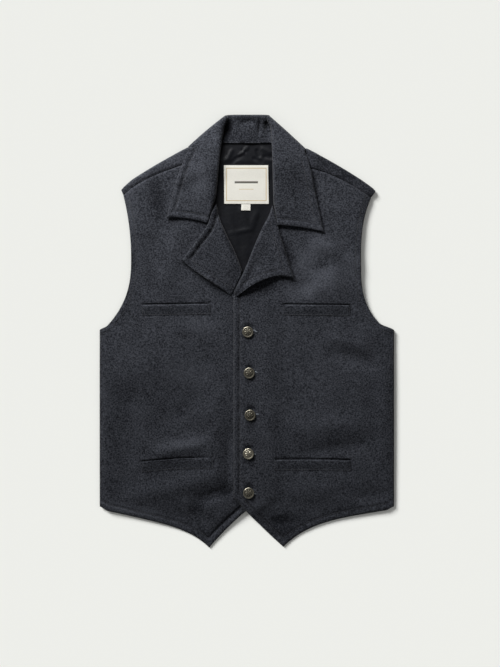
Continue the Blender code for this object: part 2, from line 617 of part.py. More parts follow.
def make_button(name, place, pieces, material):
    """Turned metal button with a rolled rim and a low crown, seated on the right front."""
    x, y = place
    seat = float(rest_height(np.array([x]), np.array([y]), pieces, reach=BUTTON_REACH)[0]) + GAP
    shape = bmesh.new()
    rings = []
    for radius, height in BUTTON_PROFILE:
        angles = np.linspace(0.0, 2.0 * np.pi, BUTTON_SIDES, endpoint=False)
        rings.append([shape.verts.new(((x + radius * math.cos(a)) * MM, (y + radius * math.sin(a)) * MM,
                                       (seat + height) * MM)) for a in angles])
    foot = shape.verts.new((x * MM, y * MM, seat * MM))
    crown = shape.verts.new((x * MM, y * MM, (seat + BUTTON_CROWN) * MM))
    for side in range(BUTTON_SIDES):
        after = (side + 1) % BUTTON_SIDES
        shape.faces.new((foot, rings[0][after], rings[0][side]))
        shape.faces.new((crown, rings[-1][side], rings[-1][after]))
        for lower, upper in zip(rings, rings[1:]):
            shape.faces.new((lower[side], lower[after], upper[after], upper[side]))
    bmesh.ops.triangulate(shape, faces=shape.faces[:])
    mesh = bpy.data.meshes.new(name)
    shape.to_mesh(mesh)
    shape.free()
    return add_object(name, mesh, material)


for old in list(bpy.data.objects):
    bpy.data.objects.remove(old, do_unlink=True)

wool = make_material("charcoal_melton", (0.031, 0.033, 0.039), 0.95)
satin = make_material("black_lining", (0.012, 0.012, 0.015), 0.55)
woven = make_material("cream_label", (0.78, 0.74, 0.62), 0.8)
brass = make_material("aged_brass", (0.17, 0.14, 0.10), 0.42, 1.0)

back = make_back(wool)
lining = make_lining(back, satin)
front_left = make_front("front_left", LEFT, wool)
front_right = make_front("front_right", RIGHT, wool)
make_lapel("lapel_left", LAPELS["lapel_left"], (front_left,), wool)
make_lapel("lapel_right", LAPELS["lapel_right"], (front_right,), wool)
make_fall((back, lining, front_left, front_right), wool)
make_stand(wool)
for welt_name, welt_line in WELTS.items():
    below = front_left if welt_name.endswith("left") else front_right
    make_strip(welt_name, (*welt_line, WELT_DEPTH), 3, 11, WELT_WALL, (below,), wool)
for number, button_place in enumerate(BUTTON_PLACES, start=1):
    make_button(f"button_{number}", button_place, (front_right,), brass)
make_strip("label", LABEL_BOX, 4, 5, LABEL_WALL, (lining,), woven)
make_strip("size_tab", TAB_BOX, 2, 3, LABEL_WALL, (lining,), woven)
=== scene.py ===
# Wool vest laid flat on its back and buttoned, seen from straight above.
# Sizes are millimetres until a mesh is made; +Y points to the collar, +Z up from the floor.
# "left" and "right" are the sides as seen from above, so the right front is the one on top.

import json
import math

import bpy
import numpy as np
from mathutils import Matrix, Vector

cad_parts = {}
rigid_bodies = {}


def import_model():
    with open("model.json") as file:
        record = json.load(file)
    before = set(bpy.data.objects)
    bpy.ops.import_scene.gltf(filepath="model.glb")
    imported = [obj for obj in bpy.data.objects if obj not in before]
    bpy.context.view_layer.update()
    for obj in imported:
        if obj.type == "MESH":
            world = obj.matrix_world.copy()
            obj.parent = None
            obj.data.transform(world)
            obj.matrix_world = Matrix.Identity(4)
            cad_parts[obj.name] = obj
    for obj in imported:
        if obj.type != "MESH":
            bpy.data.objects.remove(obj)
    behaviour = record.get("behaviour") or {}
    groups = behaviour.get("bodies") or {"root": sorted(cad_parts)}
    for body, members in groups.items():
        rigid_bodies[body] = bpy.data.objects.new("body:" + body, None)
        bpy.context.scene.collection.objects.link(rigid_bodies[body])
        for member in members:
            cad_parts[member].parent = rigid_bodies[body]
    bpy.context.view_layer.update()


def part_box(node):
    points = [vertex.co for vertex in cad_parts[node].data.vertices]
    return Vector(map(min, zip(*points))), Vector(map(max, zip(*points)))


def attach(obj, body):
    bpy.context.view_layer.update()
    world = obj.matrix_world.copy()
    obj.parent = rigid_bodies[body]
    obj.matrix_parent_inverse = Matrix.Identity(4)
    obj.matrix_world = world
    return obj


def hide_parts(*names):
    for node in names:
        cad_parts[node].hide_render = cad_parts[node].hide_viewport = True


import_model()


# The back
# One panel of thick felted melton, laid face down on the floor and wrapped forward over both
# shoulders. It is sewn to the fronts along the shoulder seams, which show from above.

MM = 0.001
GAP = 0.3
BACK_WALL = 3.0
LINING_WALL = 1.0
FRONT_WALL = 3.5
COLLAR_WALL = 3.0

ARMPIT_Y = 2.0
ARMHOLE_Y = 130.0
TIP_HALF = 229.0
TIP_Y = 254.0
BACK_INSET = 1.5
BACK_INSET_RUN = 40.0
BACK_HEM_Y = -308.0
SHOULDER_START = 114.0
SHOULDER_SLOPE = 0.5
SHOULDER_DROP = 0.00085
TIP_FALL_RUN = 24.0
TIP_REACH = 0.9
SLANT_START = 150.0
COLLAR_HALF = 107.0
COLLAR_PRESS = 8.0
COLLAR_PRESS_RUN = 9.0
SEAM_RUN = 125.0
SEAM_ROLL = 2.0
SEAM_ROLL_RUN = 2.6
STRIP_ROLL = 1.2
STRIP_RIPPLE = 2.4
STRIP_RIPPLE_LENGTH = 30.0
NECK_HALF = 55.0
NECK_Y = 340.0
NECK_RISE = 8.0
SHOULDER_COLUMNS = 52
NECK_COLUMNS = 30
SIDE_ROWS = 60
ARM_ROWS = 70
# Turns over the shoulder's fold, and shares of the strip from there to the seam, closer together at the seam.
FOLD_TURNS = np.radians(np.linspace(-90.0, 90.0, 15))[1:]
STRIP_SHARES = 1.0 - np.linspace(1.0, 0.0, 21)[1:] ** 1.6

# Lay of the fronts over the back: the lining between them, the collar under the neck, and the air inside.
LINING_INSET = 14.0
FLOOR_RUN = 66.0
CORNER_Y = -299.0
NECK_LIFT_Y = 268.0
NECK_LIFT_RUN = 32.0
NECK_LIFT_HALF = 140.0
NECK_LIFT_FADE = 24.0
FRONT_LEVEL = BACK_WALL + LINING_WALL + 2.0 * GAP
OVERLAP_RAMP = 40.0
OVERLAP_FLAT = 5.0
OVERLAP_GAP = 0.7
FILL_SIDE = 55.0
FILL_EDGE = 60.0
FILL_HEM = 70.0
FILL_HEIGHT = 1.5
FILL_MAX = 3.3
SHOULDER_FILL = 1.6
SHOULDER_FILL_Y = 150.0
SHOULDER_FILL_RUN = 60.0
SHOULDER_FILL_SIDE = 20.0
SHOULDER_FILL_EDGE = 4.0

# Each side of the body: half widths at the chest, armhole and shoulder tip, how sharply the armhole scoops
# and flares, the size and run of its corner under the arm, and the shoulder seam's drop below the fold, its
# spread and power. Each front: its point, the bow of the slant to it, the hem's slope, depth and curve, the x
# of its neck end, how far from its edge it lies flat, how late it drops to the floor, and the free edge's x
# at each height y.
LEFT = {
    "sign": -1.0, "chest": 266.5, "armhole": 210.0, "shoulder": 226.4, "shoulder_y": 327.5, "scoop": 2.6,
    "corner": 6.2, "corner_run": 7.5, "flare": 2.1, "tip_fall": 3.5, "seam": (13.4, 0.00105, 2.0),
    "tip": (-69.3, -391.0), "slant_bow": 5.5, "hem_slope": 45.0, "hem_depth": 25.0, "hem_curve": 6.0,
    "neck_x": -65.0, "flat_edge": 58.0, "late_drop": 0.0,
    "edge_y": (-299.0, 0.0, 40.0, 63.0, 107.0, 195.0, 222.0, 250.0, 330.0),
    "edge_x": (29.7, 29.7, 25.0, 12.0, -14.5, -54.5, -62.0, -65.0, -65.0),
}
RIGHT = {
    "sign": 1.0, "chest": 264.2, "armhole": 204.3, "shoulder": 229.6, "shoulder_y": 325.3, "scoop": 3.3,
    "corner": 12.9, "corner_run": 12.0, "flare": 2.6, "tip_fall": 1.0, "seam": (19.7, 0.0000082, 3.0),
    "tip": (64.8, -389.5), "slant_bow": -3.0, "hem_slope": 33.0, "hem_depth": 35.5, "hem_curve": 4.5,
    "neck_x": 63.0, "flat_edge": 12.0, "late_drop": -12.0,
    "edge_y": (-299.0, 62.0, 74.0, 107.0, 160.0, 212.0, 240.0, 330.0),
    "edge_x": (-25.6, -25.6, -16.5, -1.5, 24.8, 51.0, 60.0, 63.0),
}

# Soft folds of the fronts, each a ridge or trough along a line that fades at both ends.
# Columns: start x, start y, end x, end y, half width, height.
FOLD_FADE = 0.25
FOLDS = (
    (-225, -60, -150, -190, 34, 1.6),
    (-70, -40, -95, -215, 30, -1.4),
    (-28, -285, -95, -308, 13, -1.6),
    (-205, 120, -125, 60, 26, 1.3),
    (205, 110, 120, 40, 26, 1.4),
    (235, -40, 150, -150, 32, 1.4),
    (85, -60, 105, -210, 28, -1.2),
    (110, -330, 225, -255, 22, 1.2),
)


def smooth(value):
    """Smooth step from 0 to 1 over the unit range: three squares less two cubes."""
    value = np.clip(value, 0.0, 1.0)
    return value * value * (3.0 - 2.0 * value)


def ramp(value, step):
    """Smooth step from 0 to 1. step is a pair: where it starts, and its run, negative where it falls."""
    return smooth((value - step[0]) / step[1])


def armhole_half(side, y):
    """Half width of a side at height y: straight to the armpit, where a soft step leads into a power curve
    under the arm, and from the arm another power curve to the shoulder."""
    low = np.clip((ARMHOLE_Y - y) / (ARMHOLE_Y - ARMPIT_Y), 0.0, 1.0)
    high = np.clip((y - ARMHOLE_Y) / (TIP_Y - ARMHOLE_Y), 0.0, None)
    scoop = (side["chest"] - side["corner"] - side["armhole"]) * low ** side["scoop"]
    scoop = scoop + side["corner"] * smooth((ARMPIT_Y - y) / side["corner_run"] + 1.0)
    return side["armhole"] + scoop + (side["shoulder"] - side["armhole"]) * high ** side["flare"]


def shoulder_fold_y(x):
    """Height of the shoulder's fold: a parabola from the collar, where it is pressed in, to the tip."""
    run = np.abs(x) - SHOULDER_START
    start_y = np.where(x < 0.0, LEFT["shoulder_y"], RIGHT["shoulder_y"])
    tip_fall = np.where(x < 0.0, LEFT["tip_fall"], RIGHT["tip_fall"])
    start_y = start_y - tip_fall * smooth((np.abs(x) - TIP_HALF + TIP_FALL_RUN) / TIP_FALL_RUN)
    pressed = COLLAR_PRESS * smooth((COLLAR_HALF - np.abs(x)) / COLLAR_PRESS_RUN)
    return start_y - SHOULDER_SLOPE * run - SHOULDER_DROP * run * run - pressed


def shoulder_seam_y(x):
    """Height of the shoulder seam: the fold's less a drop that grows as a power of the way from the tip."""
    drop, spread, power = (np.where(x < 0.0, *pair) for pair in zip(LEFT["seam"], RIGHT["seam"]))
    return shoulder_fold_y(x) - drop - spread * np.clip(TIP_HALF - np.abs(x), 0.0, SEAM_RUN) ** power


def seam_tip_y(side):
    """Height at which the shoulder seam meets the armhole, found by going back and forth between the two."""
    half = side["shoulder"]
    for _ in range(20):
        half = float(armhole_half(side, shoulder_seam_y(side["sign"] * half)))
    return float(shoulder_seam_y(side["sign"] * half))


def edge_x(front, y):
    """Free edge of a front at height y: the table's line, then below the corner straight to the point."""
    straight = np.interp(y, front["edge_y"], front["edge_x"])
    corner_x = front["edge_x"][0]
    tip_x, tip_y = front["tip"]
    slanted = corner_x + (tip_x - corner_x) * (CORNER_Y - y) / (CORNER_Y - tip_y)
    return np.where(y < CORNER_Y, slanted, straight)


def neck_lift(x, y):
    """Rise of the back over the collar that lies under it at the neck: a step in y times a step in x."""
    along = smooth((y - NECK_LIFT_Y) / NECK_LIFT_RUN)
    return (COLLAR_WALL + GAP) * along * smooth((NECK_LIFT_HALF - np.abs(x)) / NECK_LIFT_FADE)


def ridges(x, y, table, fade):
    """Sum of soft ridges: a bell across each line, times a smooth rise and fall along it."""
    relief = np.zeros_like(x)
    for start_x, start_y, end_x, end_y, width, height in table:
        run_x = end_x - start_x
        run_y = end_y - start_y
        length = math.hypot(run_x, run_y)
        along = ((x - start_x) * run_x + (y - start_y) * run_y) / (length * length)
        across = ((x - start_x) * run_y - (y - start_y) * run_x) / length
        ends = smooth((along + fade) / (2.0 * fade)) * smooth((1.0 + fade - along) / (2.0 * fade))
        relief = relief + height * ends * np.exp(-(across / width) ** 2)
    return relief


def front_under(front, x, y):
    """Underside of a front: on the lining, down on the back at the sides, on the floor past its hem,
    raised by the air inside and, on the right front, by the left front that it overlaps."""
    outer = armhole_half(front, y) - np.abs(x)
    inner = front["sign"] * (x - edge_x(front, y))
    sides = (LINING_WALL + GAP) * (1.0 - smooth(outer / LINING_INSET))
    floor_drop = smooth((y - BACK_HEM_Y + FLOOR_RUN + front["late_drop"]) / FLOOR_RUN)
    filled = smooth(outer / FILL_SIDE) * smooth((inner - front["flat_edge"]) / FILL_EDGE)
    filled = filled * smooth((y - BACK_HEM_Y) / FILL_HEM)
    shoulder = SHOULDER_FILL * smooth((y - SHOULDER_FILL_Y) / SHOULDER_FILL_RUN)
    shoulder = shoulder * smooth((outer + SHOULDER_FILL_EDGE) / SHOULDER_FILL_SIDE)
    air = filled * (FILL_HEIGHT + ridges(x, y, FOLDS, FOLD_FADE)) + shoulder * (1.0 - filled)
    level = (FRONT_LEVEL - sides) * floor_drop + neck_lift(x, y) + np.clip(air, 0.0, FILL_MAX)
    if front is RIGHT:
        past_left_edge = x - edge_x(LEFT, y)
        over = smooth((OVERLAP_RAMP - past_left_edge) / (OVERLAP_RAMP - OVERLAP_FLAT))
        level = level + (FRONT_WALL + OVERLAP_GAP) * over
    return level


def patch(bottom, top, start, end, u, v):
    """Surface between four edge curves: both pairs of edges blended and added, less the corners' blend."""
    u = np.asarray(u)[None, :, None]
    v = np.asarray(v)[:, None, None]
    along = (1.0 - v) * bottom[None] + v * top[None]
    across = (1.0 - u) * start[:, None] + u * end[:, None]
    low = (1.0 - u) * bottom[0] + u * bottom[-1]
    high = (1.0 - u) * top[0] + u * top[-1]
    return along + across - (1.0 - v) * low - v * high


def join(*columns):
    """Points or faces from their columns, which are first spread to one shape."""
    return np.stack(np.broadcast_arrays(*columns), axis=-1)


def stack(plan, heights):
    """Grid of plan points with their heights."""
    return np.concatenate((plan, heights[..., None]), axis=-1)


def unit(vectors):
    """The same directions at length one."""
    return vectors / np.maximum(np.linalg.norm(vectors, axis=-1, keepdims=True), 1e-9)


# Painted light and shade on the wool: soft strokes of lighter colour (above 0) where light falls on the
# cloth, and darker where its shadows fall.
# Columns: start x, start y, end x, end y, half width, share of light fibres added.
PAINTED_LIGHT_AND_SHADE = (
    (88, 134, 166, 78, 32, 0.34),
    (110, 154, 150, 152, 15, 0.40),
    (70, 68, 125, 78, 13, 0.42),
    (172, 130, 200, 112, 15, 0.36),
    (124, 124, 142, 116, 10, -0.45),
    (64, 170, 82, 118, 8, -0.45),
    (20, 72, 52, 82, 8, -0.40),
    (-34, 60, -8, 70, 9, -0.35),
    (-84, 305, -100, 222, 26, 0.08),
    (-82, 300, -84, 245, 10, 0.22),
    (-57, 285, -62, 205, 6, -0.35),
    (-42, 182, -26, 140, 6, -0.40),
    (80, 310, 95, 220, 30, -0.14),
    (-165, 275, -160, 205, 15, -0.42),
    (-212, 262, -214, 190, 11, 0.28),
    (-211, 148, -209, 112, 9, -0.40),
    (-215, 266, -120, 318, 14, 0.08),
    (215, 266, 120, 318, 14, -0.36),
    (-33.5, 384, -43, 336, 8, -0.95),
    (-20, 384, 12, 384, 6, -0.40),
    (20.5, 366, 21, 388, 3.5, -0.35),
    (34, 372, 33, 386, 5, -0.45),
    (-30, 346, 40, 346, 8, -0.16),
    (62, -328, 62, -372, 28, -0.36),
    (150, 20, 90, -150, 60, 0.08),
    (-150, -62, -70, -84, 24, 0.26),
    (-252, -312, -150, -334, 9, 0.40),
    (-150, -204, -80, -203, 10, 0.40),
    (-108, -314, -80, -318, 13, -0.30),
    (-110, 12, -58, 12, 13, 0.34),
    (8, -308, 48, -314, 9, 0.30),
    (-48, -294, -28, -286, 9, -0.45),
)
PAINTED_LIGHT_FADE = 0.3


def add_mesh(name, points, faces, material):
    """Object at the origin with smooth shading, one material, and the painted light and shade from the table
    in its nap attribute. Points are millimetres.
    """
    points = np.asarray(points)
    mesh = bpy.data.meshes.new(name)
    mesh.from_pydata((points * MM).tolist(), [], faces)
    mesh.materials.append(material)
    mesh.shade_smooth()
    # Painted light and shade at each point, kept in the attribute named nap.
    nap = ridges(points[:, 0], points[:, 1], PAINTED_LIGHT_AND_SHADE, PAINTED_LIGHT_FADE)
    mesh.attributes.new("nap", "FLOAT", "POINT").data.foreach_set("value", nap.astype(np.float32))
    piece = bpy.data.objects.new(name, mesh)
    bpy.context.scene.collection.objects.link(piece)
    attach(piece, "root")
    return piece


RIM_TURNS = np.radians((30.0, 60.0, 90.0, 120.0, 150.0))


def cloth_shell(name, top, under, material, keep=None):
    """Closed cloth wall between two grids: both faces, joined at every free edge by a half circle.

    The half circle runs from face to face about the wall's middle line, and the faces are set in by
    its radius so that the cloth still ends on the grid's outline. keep is a mask of the quads to use."""
    columns_run = np.gradient(top, axis=1)
    rows_run = np.gradient(top, axis=0)
    if np.sum(np.cross(columns_run, rows_run) * (top - under)) < 0.0:
        top, under = top[:, ::-1], under[:, ::-1]
        keep = None if keep is None else keep[:, ::-1]
    rows, columns = top.shape[:2]
    index = np.arange(rows * columns).reshape(rows, columns)
    quads = join(index[:-1, :-1], index[:-1, 1:], index[1:, 1:], index[1:, :-1])
    quads = quads.reshape(-1, 4) if keep is None else quads[keep]
    used, quads = np.unique(quads, return_inverse=True)
    quads = quads.reshape(-1, 4)
    top = top.reshape(-1, 3)[used]
    under = under.reshape(-1, 3)[used]
    count = len(used)
    starts = quads.reshape(-1)
    ends = np.roll(quads, -1, axis=1).reshape(-1)
    free = ~np.isin(starts * count + ends, ends * count + starts)
    starts, ends = starts[free], ends[free]
    after = np.zeros(count, dtype=int)
    before = np.zeros(count, dtype=int)
    after[starts] = ends
    before[ends] = starts
    middle = (top + under) / 2.0
    wall = (top[starts] - under[starts]) / 2.0
    half = np.linalg.norm(wall, axis=-1, keepdims=True)
    outward = unit(np.cross(middle[after[starts]] - middle[before[starts]], wall)) * half
    top[starts] -= outward
    under[starts] -= outward
    centre = middle[starts] - outward
    rings = [centre + wall * math.cos(turn) + outward * math.sin(turn) for turn in RIM_TURNS]
    place = np.zeros(count, dtype=int)
    place[starts] = np.arange(len(starts))
    levels = [starts]
    levels += [2 * count + step * len(starts) + np.arange(len(starts)) for step in range(len(rings))]
    levels += [count + starts]
    following = place[ends]
    rim = [join(upper[following], upper, lower, lower[following])
           for upper, lower in zip(levels, levels[1:])]
    faces = np.concatenate([quads, quads[:, ::-1] + count, *rim])
    return add_mesh(name, np.concatenate([top, under, *rings]), faces.tolist(), material)


class Shade:
    """A socket of a material's nodes. Arithmetic on numbers adds Math nodes; node() adds any other node."""

    def __init__(self, tree, socket):
        self.tree = tree
        self.socket = socket

    def node(self, kind, settings, sockets, output=0):
        """Adds a node, sets its settings, then its sockets by name or number to values or links."""
        made = self.tree.nodes.new(kind)
        for setting, value in settings.items():
            setattr(made, setting, value)
        for place, value in sockets.items():
            if isinstance(value, Shade):
                self.tree.links.new(value.socket, made.inputs[place])
            else:
                made.inputs[place].default_value = value
        return Shade(self.tree, made.outputs[output])

    def math(self, operation, first, second=0.0):
        """A Math node's operation on one or two values."""
        return self.node("ShaderNodeMath", {"operation": operation}, {0: first, 1: second})

    def __add__(self, other):
        return self.math("ADD", self, other)

    def __sub__(self, other):
        return self.math("SUBTRACT", self, other)

    def __rsub__(self, other):
        return self.math("SUBTRACT", other, self)

    def __mul__(self, other):
        return self.math("MULTIPLY", self, other)

    __radd__ = __add__
    __rmul__ = __mul__

    def axes(self):
        """The x and the y of self, which is a position."""
        x = self.node("ShaderNodeSeparateXYZ", {}, {"Vector": self})
        return x, Shade(self.tree, x.socket.node.outputs[1])

    def clip(self):
        """The number held between 0 and 1."""
        return self.node("ShaderNodeClamp", {}, {"Value": self})

    def step(self, low, high):
        """Smooth step: 0 at low, 1 at high."""
        return self.node("ShaderNodeMapRange", {"interpolation_type": "SMOOTHSTEP"},
                         {"Value": self, "From Min": low, "From Max": high})

    def noise(self, length, detail=2.0):
        """Noise about 0 with bumps of that length in millimetres; self is a position."""
        sockets = {"Vector": self, "Scale": 1.0 / (length * MM), "Detail": detail}
        return self.node("ShaderNodeTexNoise", {}, sockets) - 0.5

    def mix(self, first, second):
        """Colour between two colours by self."""
        sockets = {0: self, 6: first, 7: second}
        return self.node("ShaderNodeMix", {"data_type": "RGBA"}, sockets, output=2)

    def bump(self, height):
        """Normal from self as a height, in millimetres for a value of one."""
        return self.node("ShaderNodeBump", {}, {"Height": self, "Distance": height * MM})


def new_material(name, colour, roughness, **constants):
    """Principled material and its shader node, with the constants set on the shader's own sockets."""
    material = bpy.data.materials.new(name)
    material.use_nodes = True
    shader = material.node_tree.nodes["Principled BSDF"]
    shader.inputs["Base Color"].default_value = (*colour, 1.0)
    shader.inputs["Roughness"].default_value = roughness
    for socket, value in constants.items():
        shader.inputs[socket.replace("_", " ")].default_value = value
    return material, shader


def object_position(material):
    """Position on the piece in its own coordinates, as a Shade."""
    tree = material.node_tree
    return Shade(tree, tree.nodes.new("ShaderNodeTexCoord").outputs["Object"])


def feed(shader, socket, value):
    """Links a Shade into one of the shader's sockets."""
    value.tree.links.new(value.socket, shader.inputs[socket])


# Melton: fulled wool of mixed charcoal and grey fibres, with a short matt nap and no weave to be seen.
WOOL_DARK = (0.0068, 0.0078, 0.0116, 1.0)
WOOL_LIGHT = (0.115, 0.123, 0.147, 1.0)
WOOL_PALE_FIBRE = (0.17, 0.18, 0.20, 1.0)
WOOL_ROUGHNESS = 0.92
HEATHER_LENGTH = 2.6
FIBRE_LENGTH = 0.8
PALE_LENGTH = 1.28
CLOUD_LENGTH = 24.0
NAP_LENGTH = 0.55
NAP_HEIGHT = 0.36
# How much each changes the share of light fibres.
HEATHER_SHARE = 1.55
FIBRE_SHARE = 0.6
CLOUD_SHARE = 0.27
PAINTED_LIGHT_SHARE = 0.64
# Share of pale fibres where they lie, and the values of noise at which they come in.
PALE_SHARE = 0.5
PALE_STEP = (0.12, 0.28)
# How much heather and fibres add to the height of the nap.
NAP_HEATHER = 0.7
NAP_FIBRES = 0.6


def make_melton(name, share_light):
    """Wool coloured from dark to light fibres by noise and by the painted light and shade in each piece's nap
    attribute; share_light is the part of the light ones.
    """
    material, shader = new_material(name, WOOL_LIGHT[:3], WOOL_ROUGHNESS, Sheen_Weight=0.12,
                                    Sheen_Roughness=0.45, Specular_IOR_Level=0.18)
    at = object_position(material)
    heather = at.noise(HEATHER_LENGTH)
    fibres = at.noise(FIBRE_LENGTH)
    clouds = at.noise(CLOUD_LENGTH)
    # The painted light and shade in each piece's nap attribute moves the share of light fibres.
    painted_light_and_shade = at.node("ShaderNodeAttribute", {"attribute_name": "nap"}, {}, output=2)
    light = share_light + painted_light_and_shade * PAINTED_LIGHT_SHARE + heather * HEATHER_SHARE + fibres * FIBRE_SHARE
    wool = (light + clouds * CLOUD_SHARE).clip().mix(WOOL_DARK, WOOL_LIGHT)
    pale = at.noise(PALE_LENGTH, 1.0).step(*PALE_STEP) * PALE_SHARE
    feed(shader, "Base Color", pale.mix(wool, WOOL_PALE_FIBRE))
    nap = at.noise(NAP_LENGTH) + heather * NAP_HEATHER + fibres * NAP_FIBRES
    feed(shader, "Normal", nap.bump(NAP_HEIGHT))
    return material


# The facings' nap runs the other way; the darker look this gives under the light is painted as shade into a
# darker copy of the wool, which the lapel facings and the stand use.
melton = make_melton("charcoal_melton", 0.272)
melton_painted_shade = make_melton("charcoal_melton_painted_shade", 0.205)


def ripple(x, y, length, seed):
    """Faint unevenness of laid cloth: the mean of a dozen cosine waves near that length."""
    rng = np.random.default_rng(seed)
    way = rng.uniform(0.0, 2.0 * np.pi, 12)
    wave = 2.0 * np.pi / (length * rng.uniform(0.7, 1.5, 12))
    phase = rng.uniform(0.0, 2.0 * np.pi, 12)
    run = x[..., None] * np.cos(way) + y[..., None] * np.sin(way)
    return np.cos(wave * run + phase).mean(axis=-1)


def make_back():
    """Flat panel, then for each shoulder a half circle over the fold and a level strip to the seam.
    The strip's outer end slants along the armhole."""
    left_tip, right_tip = (side["shoulder"] + TIP_REACH for side in (LEFT, RIGHT))
    top_x = np.concatenate((
        np.linspace(-left_tip, -NECK_HALF, SHOULDER_COLUMNS),
        np.linspace(-NECK_HALF, NECK_HALF, NECK_COLUMNS)[1:-1],
        np.linspace(NECK_HALF, right_tip, SHOULDER_COLUMNS)))
    half = np.abs(top_x)
    on_shoulder = half >= NECK_HALF - 0.01
    left_slant, right_slant = (side["shoulder"] + TIP_REACH - armhole_half(side, seam_tip_y(side))
                               for side in (LEFT, RIGHT))
    slant = np.where(top_x < 0.0, left_slant, -right_slant)
    seam_x = top_x + slant * smooth((half - SLANT_START) / (TIP_HALF - SLANT_START))
    seam_y = shoulder_seam_y(seam_x) + GAP
    seam_under = np.where(top_x < 0.0, front_under(LEFT, seam_x, seam_y), front_under(RIGHT, seam_x, seam_y))
    radius = (seam_under + FRONT_WALL - neck_lift(top_x, seam_y)) / 2.0
    fold_y = shoulder_fold_y(top_x) - radius
    neck_y = NECK_Y + NECK_RISE * (half / NECK_HALF) ** 2
    top = join(top_x, np.where(on_shoulder, fold_y, neck_y))
    y = np.concatenate((np.linspace(BACK_HEM_Y, ARMPIT_Y, SIDE_ROWS),
                        np.linspace(ARMPIT_Y, top[-1, 1], ARM_ROWS)[1:]))
    v = (y - y[0]) / (y[-1] - y[0])
    inset = BACK_INSET * smooth((y - ARMPIT_Y) / BACK_INSET_RUN) * smooth((y[-1] - y) / BACK_INSET_RUN)
    start = join(inset - armhole_half(LEFT, y), y)
    end = join(armhole_half(RIGHT, y) - inset, y)
    start[-1] = top[0]
    end[-1] = top[-1]
    u = (top_x - top_x[0]) / (top_x[-1] - top_x[0])
    bottom = join(start[0, 0] + u * (end[0, 0] - start[0, 0]), np.full_like(u, BACK_HEM_Y))
    panel = patch(bottom, top, start, end, u, v)
    lift = neck_lift(panel[..., 0], panel[..., 1])
    outer = [stack(panel, lift)]
    inner = [stack(panel, lift + BACK_WALL)]
    base = lift[-1] + radius
    for angle in FOLD_TURNS:
        for layer, size in ((outer, radius), (inner, radius - BACK_WALL)):
            ring = join(top_x, fold_y + size * np.cos(angle), base + size * np.sin(angle))
            layer.append(ring[None])
    for share in STRIP_SHARES:
        strip_x = top_x + share * (seam_x - top_x)
        strip_y = fold_y + share * (seam_y - fold_y)
        relief = STRIP_RIPPLE * share * (1.0 - share) * ripple(strip_x, strip_y, STRIP_RIPPLE_LENGTH, seed=3)
        relief = relief - STRIP_ROLL * np.exp(-((strip_y - seam_y) / SEAM_ROLL_RUN) ** 2)
        strip_z = base + radius + relief
        outer.append(join(strip_x, strip_y, strip_z)[None])
        inner.append(join(strip_x, strip_y, strip_z - BACK_WALL)[None])
    outer = np.concatenate(outer)
    rows, columns = outer.shape[:2]
    keep = np.ones((rows - 1, columns - 1), dtype=bool)
    keep[len(v) - 1:] = on_shoulder[:-1] & on_shoulder[1:]
    return cloth_shell("back_panel", outer, np.concatenate(inner), melton, keep)


back = make_back()
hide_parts("back")


# The lining
# Black satin sewn inside the back along the neck seam, set in from the outer edges. Only the part in
# the neck opening shows: pulled into small pleats under the seam, with slack folds lower down.

LINING_HEM_Y = -270.0
LINING_TOP_Y = 337.0
LINING_ARM_Y = 215.0
LINING_SHELL = 0.8
# Rows of the mesh, wide apart below the opening and close in it. Columns: first height, last height, number.
LINING_ROWS = ((LINING_HEM_Y, 60.0, 34), (63.0, LINING_TOP_Y, 150))
# Columns: height, half width of the lining there, inside the shoulder seams.
LINING_LIMIT = ((215.0, 260.0), (245.0, 195.0), (266.0, 145.0), (280.0, 95.0), (296.0, 56.0), (337.0, 52.0))
LINING_DARK = (0.0026, 0.0029, 0.0042, 1.0)
LINING_LIGHT = (0.0088, 0.0098, 0.0134, 1.0)
SATIN_ROUGHNESS = 0.5
GLOSS_LENGTH = 5.0
GLOSS_SHARE = 0.16
TONE_LENGTH = 9.0
TONE_SHARE = 0.9
TWILL_WAVES = 5200.0
TWILL_SHARE = 0.12
WRINKLE_LENGTH = 6.0
WRINKLE_HEIGHT = 0.35
# Columns: start x, start y, end x, end y, half width, height.
PLEATS = (
    (-37.5, 307, -27.5, 326, 3, 2.2),
    (-15.5, 314.5, 0.5, 331, 3, 2.4),
    (-29, 303.5, -9.4, 317.6, 3, -2),
    (-11, 326, -2.5, 322, 2.4, -1.6),
    (16.5, 326, 21.5, 313.5, 2.8, -2.2),
    (10, 311, 27, 303.5, 2.8, -2.2),
    (29, 314.5, 44, 312, 2.8, -2.2),
    (25.5, 329.5, 42.5, 321, 3.2, 1.6),
    (-44, 334, -40, 314, 4, -2),
)
SLACK_FOLDS = (
    (-30, 176, 6, 184, 3.6, 1.5),
    (-12, 222, 2, 190, 5, 1.3),
    (6, 184, 16, 214, 5, 1.1),
    (-34, 214, -20, 158, 6, 1),
    (30, 218, 10, 150, 7, -1),
    (-6, 150, 4, 104, 6, 1.2),
)
PLEAT_FADE = 0.2
PLEAT_LIMIT = 1.3
PLEAT_LOWEST = -0.5
PLEAT_SLACK = 1.0
SLACK_Y = 298.0
SLACK_RUN = 9.0
SHOWN_HALF = 70.0
SHOWN_FADE = 12.0


def lining_top(x, y):
    """Upper face of the lining: the back's inside, slack below the seam, and pleats that never go deep."""
    relief = ridges(x, y, PLEATS, PLEAT_FADE) + ridges(x, y, SLACK_FOLDS, PLEAT_FADE)
    relief = PLEAT_LIMIT * np.tanh(relief / PLEAT_LIMIT)
    slack = PLEAT_SLACK * smooth((y - SLACK_Y) / SLACK_RUN)
    shown = smooth((x + SHOWN_HALF) / SHOWN_FADE) * smooth((SHOWN_HALF - x) / SHOWN_FADE)
    level = BACK_WALL + GAP + LINING_WALL + neck_lift(x, y)
    return level + (slack + np.maximum(relief, PLEAT_LOWEST - slack)) * shown


